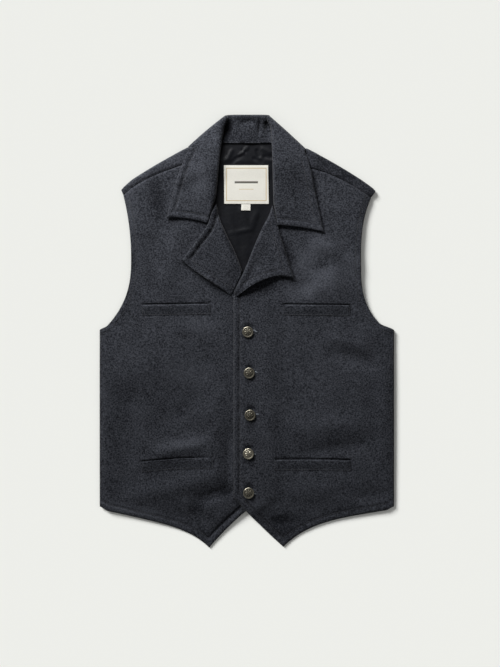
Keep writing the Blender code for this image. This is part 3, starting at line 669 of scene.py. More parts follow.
satin, satin_shader = new_material("black_satin", LINING_LIGHT[:3], SATIN_ROUGHNESS, Specular_IOR_Level=0.22)
satin_at = object_position(satin)
satin_x, satin_y = satin_at.axes()
twill = satin_at.math("SINE", (satin_x + satin_y) * TWILL_WAVES)
satin_tone = (0.5 + satin_at.noise(TONE_LENGTH) * TONE_SHARE + twill * TWILL_SHARE).clip()
feed(satin_shader, "Base Color", satin_tone.mix(LINING_DARK, LINING_LIGHT))
feed(satin_shader, "Roughness", SATIN_ROUGHNESS + satin_at.noise(GLOSS_LENGTH) * GLOSS_SHARE)
feed(satin_shader, "Normal", (twill * TWILL_SHARE + satin_at.noise(WRINKLE_LENGTH)).bump(WRINKLE_HEIGHT))

lining_y = np.concatenate([np.linspace(*rows) for rows in LINING_ROWS])
lining_arm_y = np.minimum(lining_y, LINING_ARM_Y)
lining_half = np.minimum(armhole_half(LEFT, lining_arm_y), armhole_half(RIGHT, lining_arm_y)) - LINING_INSET
lining_half = np.minimum(lining_half, np.interp(lining_y, *zip(*LINING_LIMIT)))
# The columns are closest in the middle, where the lining shows.
lining_share = np.linspace(-1.0, 1.0, 121)
lining_share = 0.55 * lining_share + 0.45 * lining_share ** 3
lining_plan = join(lining_half[:, None] * lining_share, lining_y[:, None])
lining_heights = lining_top(lining_plan[..., 0], lining_plan[..., 1])
lining = cloth_shell("back_lining_satin", stack(lining_plan, lining_heights),
                     stack(lining_plan, lining_heights - LINING_SHELL), satin)
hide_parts("back_lining")


# The fronts
# Two faced panels of melton with turned edges, topstitched along the opening, hem and armholes. The
# right front laps over the left and is buttoned to it; both run down to a point below the back's hem.

SIDE_HEM_Y = -316.5
HEM_Y = -321.0
HEM_CORNER = 15.0
BREAK_Y = 62.0
EDGE_INSET = 12.0
ARMHOLE_INSET = 9.5
OPENING_GROOVE = 1.7
HEM_GROOVE = 0.85
ARMHOLE_GROOVE = 0.35
GROOVE_WIDTH = 1.8
OPENING_GROOVE_RUN = 3.6
EDGE_PUFF = 0.45
EDGE_BLEND = 16.0
FINE_PUCKER = 0.7
FINE_PUCKER_LENGTH = 9.0
BROAD_PUCKER = 0.8
BROAD_PUCKER_LENGTH = 31.0
INSET_CLEAR = 0.985
DIMPLE_DEPTH = 2.7
DIMPLE_RADIUS = 7.5
DIMPLE_ABOVE = 8.0
SWELL_LENGTH = 85.0
SWELL_HEIGHT = 0.9
RIPPLE_LENGTH = 24.0
RIPPLE_HEIGHT = 0.22
SLIT_WIDTH = 1.25
SLIT_WAVER = 0.4
SLIT_WAVER_LENGTH = 36.0
SLIT_UNEVEN = 0.5
SLIT_UNEVEN_LENGTH = 22.0
SLIT_PAST = 1.0
SIDE_DEPTH = 0.95
BOX_DEPTH = 0.25
BOX_WIDTH = 2.2
BOX_ABOVE = 2.0
BOX_FADE = 3.0
LAY_FADE = 0.25
DEEPEST_HOLLOW = 3.1
THINNEST = 0.4
# Spacing of the mesh in its border, the border's width, the spacing between borders and at the pockets, and
# the heights of the pockets.
FINE = 1.35
BORDER = 20.0
COARSE = 3.6
POCKET_STEP = 0.9
LOW_POCKETS = (-268.0, -186.0)
HIGH_POCKETS = (40.0, 100.0)
# Pockets. Columns: inner x, outer x, height of the mouth at each, depth of the mouth, bow of its line.
LEFT["welts"] = ((-66.0, -190.5, 48.6, 46.7, 2.1, 0.0), (-61.0, -191.0, -229.2, -236.2, 2.4, 2.4))
RIGHT["welts"] = ((63.5, 185.5, 47.1, 45.8, 2.1, 0.0), (48.0, 186.0, -232.1, -233.3, 4.2, 0.6))
LEFT["buttons"] = ()
RIGHT["buttons"] = ((0.5, -1.8), (3.0, -75.6), (4.5, -151.2), (1.6, -220.5), (2.0, -291.0))
# Painted shade: a short dark stroke on the wool above each button, where the cloth dips towards it.
PAINTED_LIGHT_AND_SHADE += tuple((x - 4.0, y + 12.5, x + 8.0, y + 12.5, 4.0, -0.6) for x, y in RIGHT["buttons"])
# How each front happened to be laid. Columns: start x, start y, end x, end y, half width, height.
LEFT["lay"] = (
    (-252, -40, -250, -270, 15, 3.9),
    (-208, -90, -214, -270, 22, -3),
    (-235, -100, -120, -25, 34, 4.4),
    (-165, -175, -75, -115, 24, -2.6),
    (-168, -224, -75, -199, 14, 4.4),
    (-85, -165, -35, -115, 30, 3.6),
    (-60, -175, -58, -262, 13, 3.4),
    (-33, -185, -33, -282, 8, -3),
    (-205, -300, -48, -262, 17, 4.4),
    (-24, -284, -88, -306, 9, -4.6),
    (-140, -330, -80, -340, 14, -2),
    (-67.6, -369, 4.7, -301.8, 5, -2),
    (-165, 175, -172, 70, 16, -2.8),
    (-128, 180, -140, 90, 18, 3.6),
    (-230, 20, -215, 100, 10, 2.1),
    (-190, -20, -110, 10, 20, 2.3),
)
RIGHT["lay"] = (
    (207, 190, 207, 60, 16, 2.9),
    (150, 135, 85, 60, 17, -2.6),
    (126, 70, 158, 100, 34, 4.6),
    (120, 165, 200, 118, 14, 3.6),
    (60, -338, 60, -352, 14, -3.6),
    (95, -222, 205, -205, 12, -2.4),
    (80, -184, 215, -166, 22, 4.7),
    (150, -10, 215, -30, 15, 3.6),
    (235, -60, 150, -40, 15, -3),
    (246, -60, 244, -240, 16, 2.3),
    (250, -296, 195, -300, 11, -2.4),
    (25, -250, 60, -330, 14, -2.4),
    (70, -290, 160, -285, 18, 2.9),
)
WELT_DEPTH = 19.2
WELT_MARGIN = 1.8


def hem_y(front, half):
    """Front hem: a straight fall from the side to the point, a power curve, and a soft corner at the side."""
    share = np.clip((front["chest"] - half) / (front["chest"] - abs(front["tip"][0])), 0.0, 1.0)
    corner = (SIDE_HEM_Y - HEM_Y) * smooth((half - front["chest"] + HEM_CORNER) / HEM_CORNER)
    return HEM_Y - front["hem_slope"] * share - front["hem_depth"] * share ** front["hem_curve"] + corner


def distance_to(x, y, line):
    """Distance from points to a line of straight runs: the least of the distances to its runs."""
    points = join(x, y)
    nearest = np.full(np.shape(x), np.inf)
    for start, end in zip(line[:-1], line[1:]):
        run = end - start
        share = np.clip(((points - start) @ run) / max(run @ run, 1e-9), 0.0, 1.0)
        nearest = np.minimum(nearest, np.linalg.norm(points - start - share[..., None] * run, axis=-1))
    return nearest


def nearer(to_first, to_second):
    """One nearer to the first of two lines, zero nearer to the second, changing softly between."""
    return smooth(0.5 + (to_second - to_first) / EDGE_BLEND)


def stitched_edge(x, y, away, inset, depth, seed, edge_run=GROOVE_WIDTH):
    """Relief of a topstitched edge: a bulge from the edge to the stitches, and a puckered groove along them.
    away is the distance from the edge, edge_run the width of the groove's slope on the edge's side."""
    bulge = EDGE_PUFF * depth * np.sin(np.pi * np.clip(away / inset, 0.0, 1.0))
    pucker = 1.0 + FINE_PUCKER * ripple(x, y, FINE_PUCKER_LENGTH, seed)
    pucker = pucker + BROAD_PUCKER * ripple(x, y, BROAD_PUCKER_LENGTH, seed + 1)
    width = np.where(away < inset, edge_run, GROOVE_WIDTH)
    return bulge - depth * pucker * np.exp(-((away - inset) / width) ** 2)


def inset_line(line, distance, sign, clear_of):
    """Line at a distance to the inner side of another, without the points that a corner brings nearer."""
    way = unit(np.gradient(line, axis=0))
    moved = line + sign * distance * join(-way[:, 1], way[:, 0])
    return moved[distance_to(moved[:, 0], moved[:, 1], clear_of) > INSET_CLEAR * distance]


def mouth_y(welt, share):
    """Height of a pocket's mouth at a share of its length from the inner end: a line and a parabola."""
    inner_top, outer_top, _, bow = welt[2:]
    return inner_top + share * (outer_top - inner_top) + 4.0 * bow * share * (1.0 - share)


def welt_frame(x, y, welt):
    """Share along a welt from its inner end, and the distance below its top line."""
    share = (x - welt[0]) / (welt[1] - welt[0])
    return share, mouth_y(welt, np.clip(share, 0.0, 1.0)) - y


def welt_relief(x, y, welt):
    """Pocket mouth: an uneven slit along the welt's top, and stitched grooves at its sides and bottom."""
    share, below = welt_frame(x, y, welt)
    outside = np.maximum(-share, share - 1.0) * abs(welt[1] - welt[0])
    waver = below + SLIT_WIDTH + SLIT_WAVER * ripple(x, y, SLIT_WAVER_LENGTH, seed=71)
    depth = welt[4] * (1.0 + SLIT_UNEVEN * ripple(x, y, SLIT_UNEVEN_LENGTH, seed=72))
    slit = depth * np.exp(-(waver / SLIT_WIDTH) ** 2) * smooth((SLIT_PAST - outside) / BOX_FADE)
    sides = SIDE_DEPTH * np.exp(-((outside - WELT_MARGIN) / BOX_WIDTH) ** 2)
    sides = sides * smooth((WELT_DEPTH + BOX_FADE - below) / BOX_FADE)
    bottom = BOX_DEPTH * np.exp(-((below - WELT_DEPTH - WELT_MARGIN) / BOX_WIDTH) ** 2)
    bottom = bottom * smooth((BOX_FADE - outside) / BOX_FADE)
    return -slit - smooth((below + BOX_ABOVE) / BOX_FADE) * (sides + bottom)


def front_lay(front, x, y):
    """Rise or fall of a front's cloth where it was laid: its hollows, rolls and faint unevenness."""
    outer = smooth((armhole_half(front, y) - np.abs(x)) / FILL_SIDE)
    swell = SWELL_HEIGHT * outer * ripple(x, y, SWELL_LENGTH, seed=11)
    swell = swell + RIPPLE_HEIGHT * ripple(x, y, RIPPLE_LENGTH, seed=12)
    return np.maximum(swell + ridges(x, y, front["lay"], LAY_FADE), -DEEPEST_HOLLOW)


def front_level(front, x, y):
    """Upper face of a front without its sewing."""
    return front_under(front, x, y) + FRONT_WALL + front_lay(front, x, y)


def front_top(front, x, y):
    """Upper face of a front: its level, the stitched opening, hem and armhole, and the pocket mouths."""
    to_opening = distance_to(x, y, front["opening"])
    to_hem = distance_to(x, y, front["hem"])
    depth = HEM_GROOVE + (OPENING_GROOVE - HEM_GROOVE) * nearer(to_opening, to_hem)
    relief = stitched_edge(x, y, np.minimum(to_opening, to_hem), EDGE_INSET, depth, 21, OPENING_GROOVE_RUN)
    relief = relief - SEAM_ROLL * np.exp(-((shoulder_seam_y(x) - y) / SEAM_ROLL_RUN) ** 2)
    relief = relief + stitched_edge(x, y, distance_to(x, y, front["arm"]), ARMHOLE_INSET, ARMHOLE_GROOVE, 23)
    for place_x, place_y in front["buttons"]:
        away = ((x - place_x) ** 2 + (y - place_y - DIMPLE_ABOVE) ** 2) / DIMPLE_RADIUS ** 2
        relief = relief - DIMPLE_DEPTH * np.exp(-away)
    for welt in front["welts"]:
        relief = relief + welt_relief(x, y, welt)
    return front_level(front, x, y) + relief


def fine_ends(length, coarse):
    """Places along a length: close together near both ends, wider apart between."""
    near = np.arange(0.0, BORDER, FINE)
    between = np.linspace(BORDER, length - BORDER, int((length - 2.0 * BORDER) / coarse) + 2)
    return np.concatenate((near, between, length - near[::-1]))


def make_front(name, front):
    """Patch between the free edge, the hem with its point, the side and armhole, and the shoulder seam."""
    sign = front["sign"]
    tip_y = seam_tip_y(front)
    # The rows are close together at the hem, the pockets, the armpit and the shoulder.
    y = np.concatenate((
        np.arange(SIDE_HEM_Y, SIDE_HEM_Y + BORDER, FINE),
        np.linspace(SIDE_HEM_Y + BORDER, LOW_POCKETS[0], 9)[:-1],
        np.arange(*LOW_POCKETS, POCKET_STEP),
        np.linspace(LOW_POCKETS[1] + 1.0, -26.0, 44),
        np.arange(-25.0, ARMPIT_Y, FINE),
        (ARMPIT_Y,),
        np.arange(ARMPIT_Y, 60.0, 1.6)[1:],
        np.linspace(60.0, tip_y - 8.0, 46),
        tip_y - np.arange(0.0, 7.0, FINE)[::-1]))
    v = (y - y[0]) / (y[-1] - y[0])
    edge_run = shoulder_seam_y(front["neck_x"]) - CORNER_Y
    mouth_v = (np.arange(*HIGH_POCKETS, POCKET_STEP) - CORNER_Y) / edge_run
    v = np.unique(np.round(np.concatenate((v, mouth_v)), 6))
    y = SIDE_HEM_Y + v * (tip_y - SIDE_HEM_Y)
    end = join(sign * armhole_half(front, y), y)
    edge_y = CORNER_Y + edge_run * v
    start = join(edge_x(front, edge_y), edge_y)
    corner_x = start[0, 0]
    side_x = sign * front["chest"]
    point_x, point_y = front["tip"]
    to_point = abs(point_x - corner_x)
    across = fine_ends(abs(side_x - corner_x), COARSE)
    across[np.argmin(np.abs(across - to_point))] = to_point
    bottom_x = corner_x + sign * across
    slant = np.clip(across / to_point, 0.0, 1.0)
    slant_y = CORNER_Y + (point_y - CORNER_Y) * slant + 4.0 * front["slant_bow"] * slant * (1.0 - slant)
    hem = np.where(across <= to_point, slant_y, hem_y(front, np.abs(bottom_x)))
    bottom = join(bottom_x, hem)
    u = across / across[-1]
    top_x = start[-1, 0] + u * (end[-1, 0] - start[-1, 0])
    top = join(top_x, shoulder_seam_y(top_x))
    opening = start[edge_y < BREAK_Y][::-1]
    past_point = int(np.argmin(np.abs(across - to_point)))
    front["opening"] = np.concatenate((opening, bottom[1:past_point + 1]))
    front["hem"] = bottom[past_point:]
    front["arm"] = end[y > ARMPIT_Y - 0.5]
    panel = patch(bottom, top, start, end, u, v)
    x, y = panel[..., 0], panel[..., 1]
    lowest = front_under(front, x, y)
    upper = np.maximum(front_top(front, x, y), lowest + THINNEST)
    lower = np.minimum(lowest + np.maximum(front_lay(front, x, y), 0.0), upper - THINNEST)
    return cloth_shell(name, stack(panel, upper), stack(panel, lower), melton)


# Topstitching: charcoal polyester thread, each stitch a short bar that dips into the cloth at both ends.
THREAD_COLOUR = (0.040, 0.042, 0.050)
STITCH_PITCH = 3.4
STITCH_LENGTH = 2.7
THREAD_RADIUS = 0.30
STITCH_SHARES = np.array((0.0, 0.2, 0.5, 0.8, 1.0))
STITCH_RISE = np.array((-0.35, 0.10, 0.22, 0.10, -0.35))
THREAD_SIDES = 6
FUZZ_LENGTH = 0.8
FUZZ_SHARE = 0.3


def make_thread(name, colour, roughness):
    """Spun thread of one colour, with a roughness that noise varies."""
    material, shader = new_material(name, colour, roughness, Sheen_Weight=0.2)
    feed(shader, "Roughness", roughness + object_position(material).noise(FUZZ_LENGTH) * FUZZ_SHARE)
    return material


thread = make_thread("charcoal_thread", THREAD_COLOUR, 0.55)


def lengths_along(line):
    """Length of a line of points from its start to each of them."""
    return np.concatenate(([0.0], np.cumsum(np.linalg.norm(np.diff(line, axis=0), axis=-1))))


def places_along(line, at):
    """Places on a line of points at lengths from its start, on the straight runs between the points."""
    along = lengths_along(line)
    return np.stack([np.interp(at, along, column) for column in line.T], axis=-1)


def evenly(line, step=1.5):
    """The same line with points a short step apart."""
    length = lengths_along(line)[-1]
    return places_along(line, np.linspace(0.0, length, int(length / step) + 2))


def tube(rings):
    """Quads between neighbouring rings, from an array of point numbers with one ring in each row."""
    after = np.roll(rings, -1, axis=-1)
    return join(rings[..., :-1, :], after[..., :-1, :], after[..., 1:, :], rings[..., 1:, :]).reshape(-1, 4)


def stitches(name, lines, material=thread, pitch=STITCH_PITCH, length=STITCH_LENGTH, radius=THREAD_RADIUS):
    """Threads along lines: rings of six points about each stitch's middle line, capped at both ends."""
    rings = []
    for line in lines:
        starts = (np.arange(int(lengths_along(line)[-1] / pitch)) + 0.1) * pitch
        centre = places_along(line, starts[:, None] + STITCH_SHARES * length)
        centre[..., 2] += STITCH_RISE + radius
        run = unit(centre[:, -1:] - centre[:, :1])
        side = unit(np.cross(run, (0.0, 0.0, 1.0)))[:, :, None]
        lift = np.cross(side, run[:, :, None])
        angle = np.linspace(0.0, 2.0 * np.pi, THREAD_SIDES, endpoint=False)[:, None]
        rings.append(centre[:, :, None] + radius * (np.cos(angle) * side + np.sin(angle) * lift))
    rings = np.concatenate(rings)
    count, steps = rings.shape[:2]
    first = (np.arange(count) * steps * THREAD_SIDES)[:, None, None]
    index = first + np.arange(steps * THREAD_SIDES).reshape(steps, THREAD_SIDES)
    caps = np.concatenate((index[:, 0, ::-1], index[:, -1]))
    piece = add_mesh(name, rings.reshape(-1, 3), tube(index).tolist() + caps.tolist(), material)
    return piece


def on_front(front, plan):
    """Plan points set on a front's upper face."""
    return stack(plan, front_top(front, plan[:, 0], plan[:, 1]))


SIDES = {"left": LEFT, "right": RIGHT}
for side, front in SIDES.items():
    make_front(f"front_panel_{side}", front)
    border = evenly(np.concatenate((front["opening"], front["hem"][1:])))
    seams = [inset_line(border, EDGE_INSET, front["sign"], border),
             inset_line(evenly(front["arm"]), ARMHOLE_INSET, front["sign"], front["arm"])]
    front_thread = stitches(f"front_topstitch_{side}", [on_front(front, seam) for seam in seams])
    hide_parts(f"front_{side}")


# The pocket welts
# Four narrow folded strips of melton set into the fronts below each pocket's mouth. The top is a free
# folded edge; the sides and the bottom are sewn down flat.

WELT_WALL = 1.9
WELT_SEWN = 0.15
WELT_SIDE = 5.0
WELT_STITCH_INSET = 1.7
WELT_BELLY = 0.35
WELT_SUNK = 0.55
WELT_COLUMNS = 90
WELT_ROWS = 22
BOX_SIDE_POINTS = 12
BOX_BOTTOM_POINTS = 60


def welt_grid(front, welt, share, below):
    """Both faces of a welt from shares of its length and distances below its top line: thick at the free
    top, thin at the sewn sides and bottom, a little bellied."""
    plan = join(welt[0] + share * (welt[1] - welt[0]), mouth_y(welt, share) - below)
    length = abs(welt[1] - welt[0])
    side = smooth(np.minimum(share, 1.0 - share) * length / WELT_SIDE)
    fall = smooth(below / WELT_DEPTH)
    wall = WELT_SEWN + (WELT_WALL - WELT_SEWN) * side * (1.0 - fall)
    belly = WELT_BELLY * side * np.sin(np.pi * below / WELT_DEPTH)
    level = front_level(front, plan[..., 0], plan[..., 1]) + GAP - WELT_SUNK * (1.0 - side * (1.0 - fall))
    return stack(plan, level + wall + belly), stack(plan, level)


for side, front in SIDES.items():
    for row, welt in zip(("upper", "lower"), front["welts"]):
        welt_share = np.linspace(0.0, 1.0, WELT_COLUMNS)[None, :]
        welt_below = np.linspace(0.0, WELT_DEPTH, WELT_ROWS)[:, None]
        welt_faces = welt_grid(front, welt, welt_share, welt_below)
        welt_piece = cloth_shell(f"pocket_welt_{row}_{side}", *welt_faces, melton)
        start = WELT_STITCH_INSET / abs(welt[1] - welt[0])
        along = np.linspace(start, 1.0 - start, BOX_BOTTOM_POINTS)
        down = np.linspace(WELT_STITCH_INSET, WELT_DEPTH - WELT_STITCH_INSET, BOX_SIDE_POINTS)
        box_share = np.concatenate((np.full_like(down, start), along, np.full_like(down, 1.0 - start)))
        box_below = np.concatenate((down, np.full_like(along, WELT_DEPTH - WELT_STITCH_INSET), down[::-1]))
        box_line, _ = welt_grid(front, welt, box_share, box_below)
        welt_thread = stitches(f"pocket_stitch_{row}_{side}", [box_line])
        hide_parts(f"welt_{row}_{side}")
        abs(welt[1] - welt[0]) * MM


# The lapels
# The upper ends of the fronts turned back on themselves, so that the facing shows. Each rolls softly
# along a line from the first button to the collar and is topstitched along its free edges.

LAPEL_WALL = 3.0
LAPEL_ROLL_RADIUS = 5.5
LAPEL_CLEAR = 0.9
LAPEL_SWELL = 2.2
LAPEL_END = 0.8
LAPEL_TAPER = 0.22
LAPEL_ROWS = 96
LAPEL_COLUMNS = 60
EDGE_POINTS = 50
ROLL_SHARE = 0.6
ROLL_INSIDE = 0.4
ROLL_TURNS = np.radians(np.linspace(-20.0, 90.0, 12))
# Steps across a lapel from roll to edge, and along it from the crossing to the gorge. Each: start, run.
LEVEL_ACROSS = (0.5, -0.4)
SWELL_ACROSS = (0.75, -0.7)
LIFT_ACROSS = (0.35, 0.65)
LIFT_ALONG = (0.93, -0.5)
EDGE_LIFT_ACROSS = (0.1, 0.5)
EDGE_LIFT_ALONG = (0.55, 0.45)
BELLY_RUN = 1.15
# Columns of the face whose highest place sets the level of the roll.
ROLL_COLUMNS = slice(6, 36)
# Plan curves: the roll from the crossing up to the gorge, the edge from the gorge to the tip, and the low
# edge from the crossing out to the tip. Then how far the low edge and the upper edge stand off the front,
# and the depth of the groove at the stitches, the run of its slope, and its depth along the low edge.
LAPELS = {
    "left": {
        "roll": ((-9.0, 107.0), (-22.5, 142.0), (-36.0, 170.0), (-50.0, 202.0), (-56.0, 229.0)),
        "edge": ((-56.0, 229.0), (-64.5, 213.0), (-70.5, 194.5), (-93.0, 161.5), (-118.5, 127.0)),
        "low": ((-30.0, 64.5), (-74.0, 93.0), (-100.0, 111.5), (-118.5, 127.0)),
        "lift": 3.0, "edge_lift": 0.6, "groove": 3.0, "groove_run": 5.5, "low_groove": 0.4,
    },
    "right": {
        "roll": ((-25.0, 69.0), (-8.5, 102.0), (15.5, 160.5), (27.5, 187.0), (39.5, 210.0), (45.0, 226.0)),
        "edge": ((45.0, 226.0), (51.0, 206.0), (54.3, 191.0), (70.0, 138.0), (83.2, 95.5)),
        "low": ((-19.0, 62.0), (8.0, 81.0), (35.5, 93.0), (62.0, 98.0), (83.2, 95.5)),
        "lift": 6.5, "edge_lift": 3.0, "groove": 0.5, "groove_run": 2.1, "low_groove": 0.8,
    },
}


def curve_points(points, shares):
    """Points at shares of a smooth curve's length: cubic runs between a few points, with mean slopes."""
    points = np.array(points, dtype=float)
    steps = np.hypot(*np.diff(points, axis=0).T)
    knots = np.concatenate(([0.0], np.cumsum(steps)))
    slopes = np.gradient(points, knots, axis=0)
    at = np.asarray(shares) * knots[-1]
    index = np.clip(np.searchsorted(knots, at, side="right") - 1, 0, len(steps) - 1)
    span = steps[index][..., None]
    t = ((at - knots[index]) / steps[index])[..., None]
    start = points[index] * (1.0 + 2.0 * t) * (1.0 - t) ** 2 + slopes[index] * span * t * (1.0 - t) ** 2
    end = points[index + 1] * t * t * (3.0 - 2.0 * t) + slopes[index + 1] * span * t * t * (t - 1.0)
    return start + end


def on_grid(grid, plan):
    """Plan points set on a grid: the mean height of its four nearest points, nearer ones counting more."""
    places = grid.reshape(-1, 3)
    away = np.hypot(plan[:, None, 0] - places[None, :, 0], plan[:, None, 1] - places[None, :, 1])
    nearest = np.argpartition(away, 4, axis=1)[:, :4]
    weight = 1.0 / (np.take_along_axis(away, nearest, axis=1) + 0.05) ** 2
    return stack(plan, (places[nearest, 2] * weight).sum(axis=1) / weight.sum(axis=1))


def lapel_plan(lapel, u, v):
    """Plan of a lapel between its roll, low edge and upper edge, as a patch with a straight bottom end."""
    roll = curve_points(lapel["roll"], v)
    low = curve_points(lapel["low"], v)
    edge = curve_points(lapel["edge"], u)
    first, last = np.array(lapel["roll"][0]), np.array(lapel["low"][0])
    gorge, tip = np.array(lapel["edge"][0]), np.array(lapel["edge"][-1])
    u, v = u[..., None], v[..., None]
    straight = first + u * (last - first)
    along = (1.0 - v) * straight + v * edge
    across = (1.0 - u) * roll + u * low
    return along + across - (1.0 - v) * straight - v * (gorge + u * (tip - gorge))


def make_lapel(side, lapel, front):
    """Lapel on its front: part of a circle over the roll, then a face that settles towards the edges."""
    v = np.linspace(0.0, 1.0, LAPEL_ROWS)
    share = np.linspace(0.0, 1.0, LAPEL_COLUMNS)
    width = np.linalg.norm(curve_points(lapel["low"], v) - curve_points(lapel["roll"], v), axis=-1)
    radius = np.minimum(LAPEL_ROLL_RADIUS, ROLL_SHARE * width)[:, None]
    u = radius / width[:, None] + (1.0 - radius / width[:, None]) * share
    plan = lapel_plan(lapel, u, np.broadcast_to(v[:, None], u.shape))
    x, y = plan[..., 0], plan[..., 1]
    rest = front_level(front, x, y) + LAPEL_CLEAR
    roll_level = rest[:, ROLL_COLUMNS].max(axis=1, keepdims=True)
    rest = rest + (roll_level - rest) * ramp(share, LEVEL_ACROSS)
    belly = np.sin(np.pi * np.clip(v * BELLY_RUN, 0.0, 1.0))[:, None]
    rest = rest + LAPEL_SWELL * belly * ramp(share, SWELL_ACROSS)
    rest = rest + lapel["lift"] * belly * ramp(share, LIFT_ACROSS) * ramp(v, LIFT_ALONG)[:, None]
    rest = rest + lapel["edge_lift"] * ramp(v, EDGE_LIFT_ALONG)[:, None] * ramp(share, EDGE_LIFT_ACROSS)
    free_edge = np.concatenate((curve_points(lapel["edge"], np.linspace(0.0, 1.0, EDGE_POINTS)),
                                curve_points(lapel["low"], np.linspace(1.0, 0.0, EDGE_POINTS))[1:]))
    from_edge = distance_to(x, y, free_edge[:EDGE_POINTS])
    from_low = distance_to(x, y, free_edge[EDGE_POINTS - 1:])
    depth = lapel["low_groove"] + (lapel["groove"] - lapel["low_groove"]) * nearer(from_edge, from_low)
    relief = stitched_edge(x, y, np.minimum(from_edge, from_low), EDGE_INSET, depth, 31, lapel["groove_run"])
    taper = LAPEL_END + (LAPEL_WALL - LAPEL_END) * smooth(v / LAPEL_TAPER)[:, None]
    top = stack(plan, rest + taper + relief * smooth(v / LAPEL_TAPER)[:, None])
    under = stack(plan, rest)
    roll = curve_points(lapel["roll"], v)
    way = unit(roll - plan[:, 0])
    centre = roll - way * radius
    arcs = []
    for size in (radius, np.maximum(radius - LAPEL_WALL, ROLL_INSIDE)):
        out = centre[:, None] + way[:, None] * (size * np.cos(ROLL_TURNS))[..., None]
        arcs.append(stack(out, top[:, :1, 2] - radius + size * np.sin(ROLL_TURNS)))
    top = np.concatenate((arcs[0][:, :-1], top), axis=1)
    under = np.concatenate((arcs[1][:, :-1], under), axis=1)
    # The facing uses the darker copy of the melton, with painted shade.
    piece = cloth_shell(f"lapel_facing_{side}", top, under, melton_painted_shade)
    border = evenly(free_edge)
    seam = inset_line(border, EDGE_INSET, -front["sign"], border)
    past_roll = front["sign"] * (seam[:, 0] - np.interp(seam[:, 1], roll[:, 1], roll[:, 0]))
    seam = seam[past_roll > LAPEL_ROLL_RADIUS]
    lapel_thread = stitches(f"lapel_topstitch_{side}", [on_grid(top, seam)])
    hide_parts(f"lapel_{side}")
    return piece, lapel_thread


for side, front in SIDES.items():
    lapel_piece, lapel_thread = make_lapel(side, LAPELS[side], front)


# The collar
# A fall and a stand of melton. The fall is one band: it lies under the back of the neck, turns over
# at each side and comes down on the fronts, where its ends are cut square and topstitched.

# Columns: share of the band, edge x, edge y, fold x, fold y, turn (0 under the back, 1 on the front).
FALL = {
    "left": (
        (0.00, 0, 321, 0, 383.4, 0),
        (0.16, -44, 321, -22, 383.4, 0),
        (0.34, -99, 327, -34, 382.2, 0),
        (0.46, -105, 325, -38.5, 380, 1),
        (0.52, -113, 311, -46.5, 366, 1),
        (0.66, -124.5, 281, -54, 324, 1),
        (0.84, -137, 238, -62, 242, 1),
        (1.00, -145.5, 203.5, -74.3, 194.5, 1),
    ),
    "right": (
        (0.00, 0, 321, 0, 383.4, 0),
        (0.16, 44, 321, 22, 383.4, 0),
        (0.34, 96.5, 323.5, 33, 382, 0),
        (0.46, 103, 321.5, 38, 379, 1),
        (0.52, 108.5, 309, 47, 364, 1),
        (0.66, 116, 279, 49.9, 324, 1),
        (0.84, 126.5, 228, 52.2, 232, 1),
        (1.00, 137.2, 178, 57, 190, 1),
    ),
}
# Columns: share of the band, radius of its fold there.
FALL_FOLD_RADII = ((0.16, 3.9), (0.34, 2.2), (0.46, 2.6), (0.56, 4.2), (0.84, 4.2), (1.0, 1.6))
FALL_EASE = 0.8
FALL_TURN_LIMIT = 5.9
FALL_END_ARCH = {"left": 3.0, "right": 2.0}
FALL_SLOPE_BULGE = {"left": 1.3, "right": 0.6}
# How far the fall rises off what it lies on, each time by a height times a step along and a step across it.
# Columns: height on the left, height on the right, start and run along, start and run across.
FALL_RISES = (
    (1.4, 1.4, (0.5, 0.2), (0.2, 0.5)),
    (-1.4, 0.8, (0.8, 0.2), (0.2, 0.5)),
    (1.6, 0.0, (0.8, 0.2), (0.5, -0.5)),
    (4.5, 4.5, (1.02, -0.3), (0.0, 0.95)),
    (0.0, 1.4, (0.5, 0.1), (0.6, -0.6)),
)
# Other steps: the arch of the ends and the way the fold faces along the band, the rise to the fold across
# it, and the turn from which the stitches show. Each: start, run.
ARCH_ALONG = (0.84, 0.16)
FACING_ALONG = (0.26, 0.28)
NECK_ACROSS = (0.45, 0.55)
STITCHED_TURN = (0.9, 0.1)
# Rows and columns of the mesh. Columns: first share, last share, number.
FALL_ROWS = ((0.0, 0.30, 24), (0.305, 0.5, 44), (0.507, 1.0, 84))
FALL_COLUMNS = ((0.0, 0.28, 19), (0.30, 1.0, 26))
FACE_COLUMNS = sum(places[2] for places in FALL_COLUMNS)
# Rows from each end of the band that lie on a front.
FRONT_ROWS = 92
HAIRPIN_TURNS = np.radians(np.linspace(0.0, 180.0, 13))[1:]
FALL_THIN = 0.75
FALL_THIN_RUN = 7.0
NECK_LEVEL = BACK_WALL + COLLAR_WALL + GAP
NECK_LOW_Y = 300.0
NECK_REACH = 3.0
FALL_SIDE_GROOVE = {"left": 1.7, "right": 0.4}
FALL_END_GROOVE = {"left": 1.1, "right": 1.0}
FALL_GROOVE_RUN = 4.5
SOFTEN = np.hanning(11)[1:-1] / np.hanning(11)[1:-1].sum()


def soften(values):
    """Weighted mean of each value and its neighbours, with both ends kept."""
    reach = len(SOFTEN) // 2
    low = 2.0 * values[0] - values[reach:0:-1]
    high = 2.0 * values[-1] - values[-2:-reach - 2:-1]
    return np.convolve(np.concatenate((low, values, high)), SOFTEN, mode="valid")


def garment_top(x, y):
    """Top of what the collar lies on: the fronts, the back's strip past the seams, the neck's lining."""
    on_strip = np.minimum(y, shoulder_seam_y(x))
    inner = np.where(x < 0.0, edge_x(LEFT, y) - x, x - edge_x(RIGHT, y))
    cloth = np.where(x < 0.0, front_level(LEFT, x, on_strip), front_level(RIGHT, x, on_strip))
    return np.where(inner > -NECK_REACH, cloth, NECK_LEVEL)


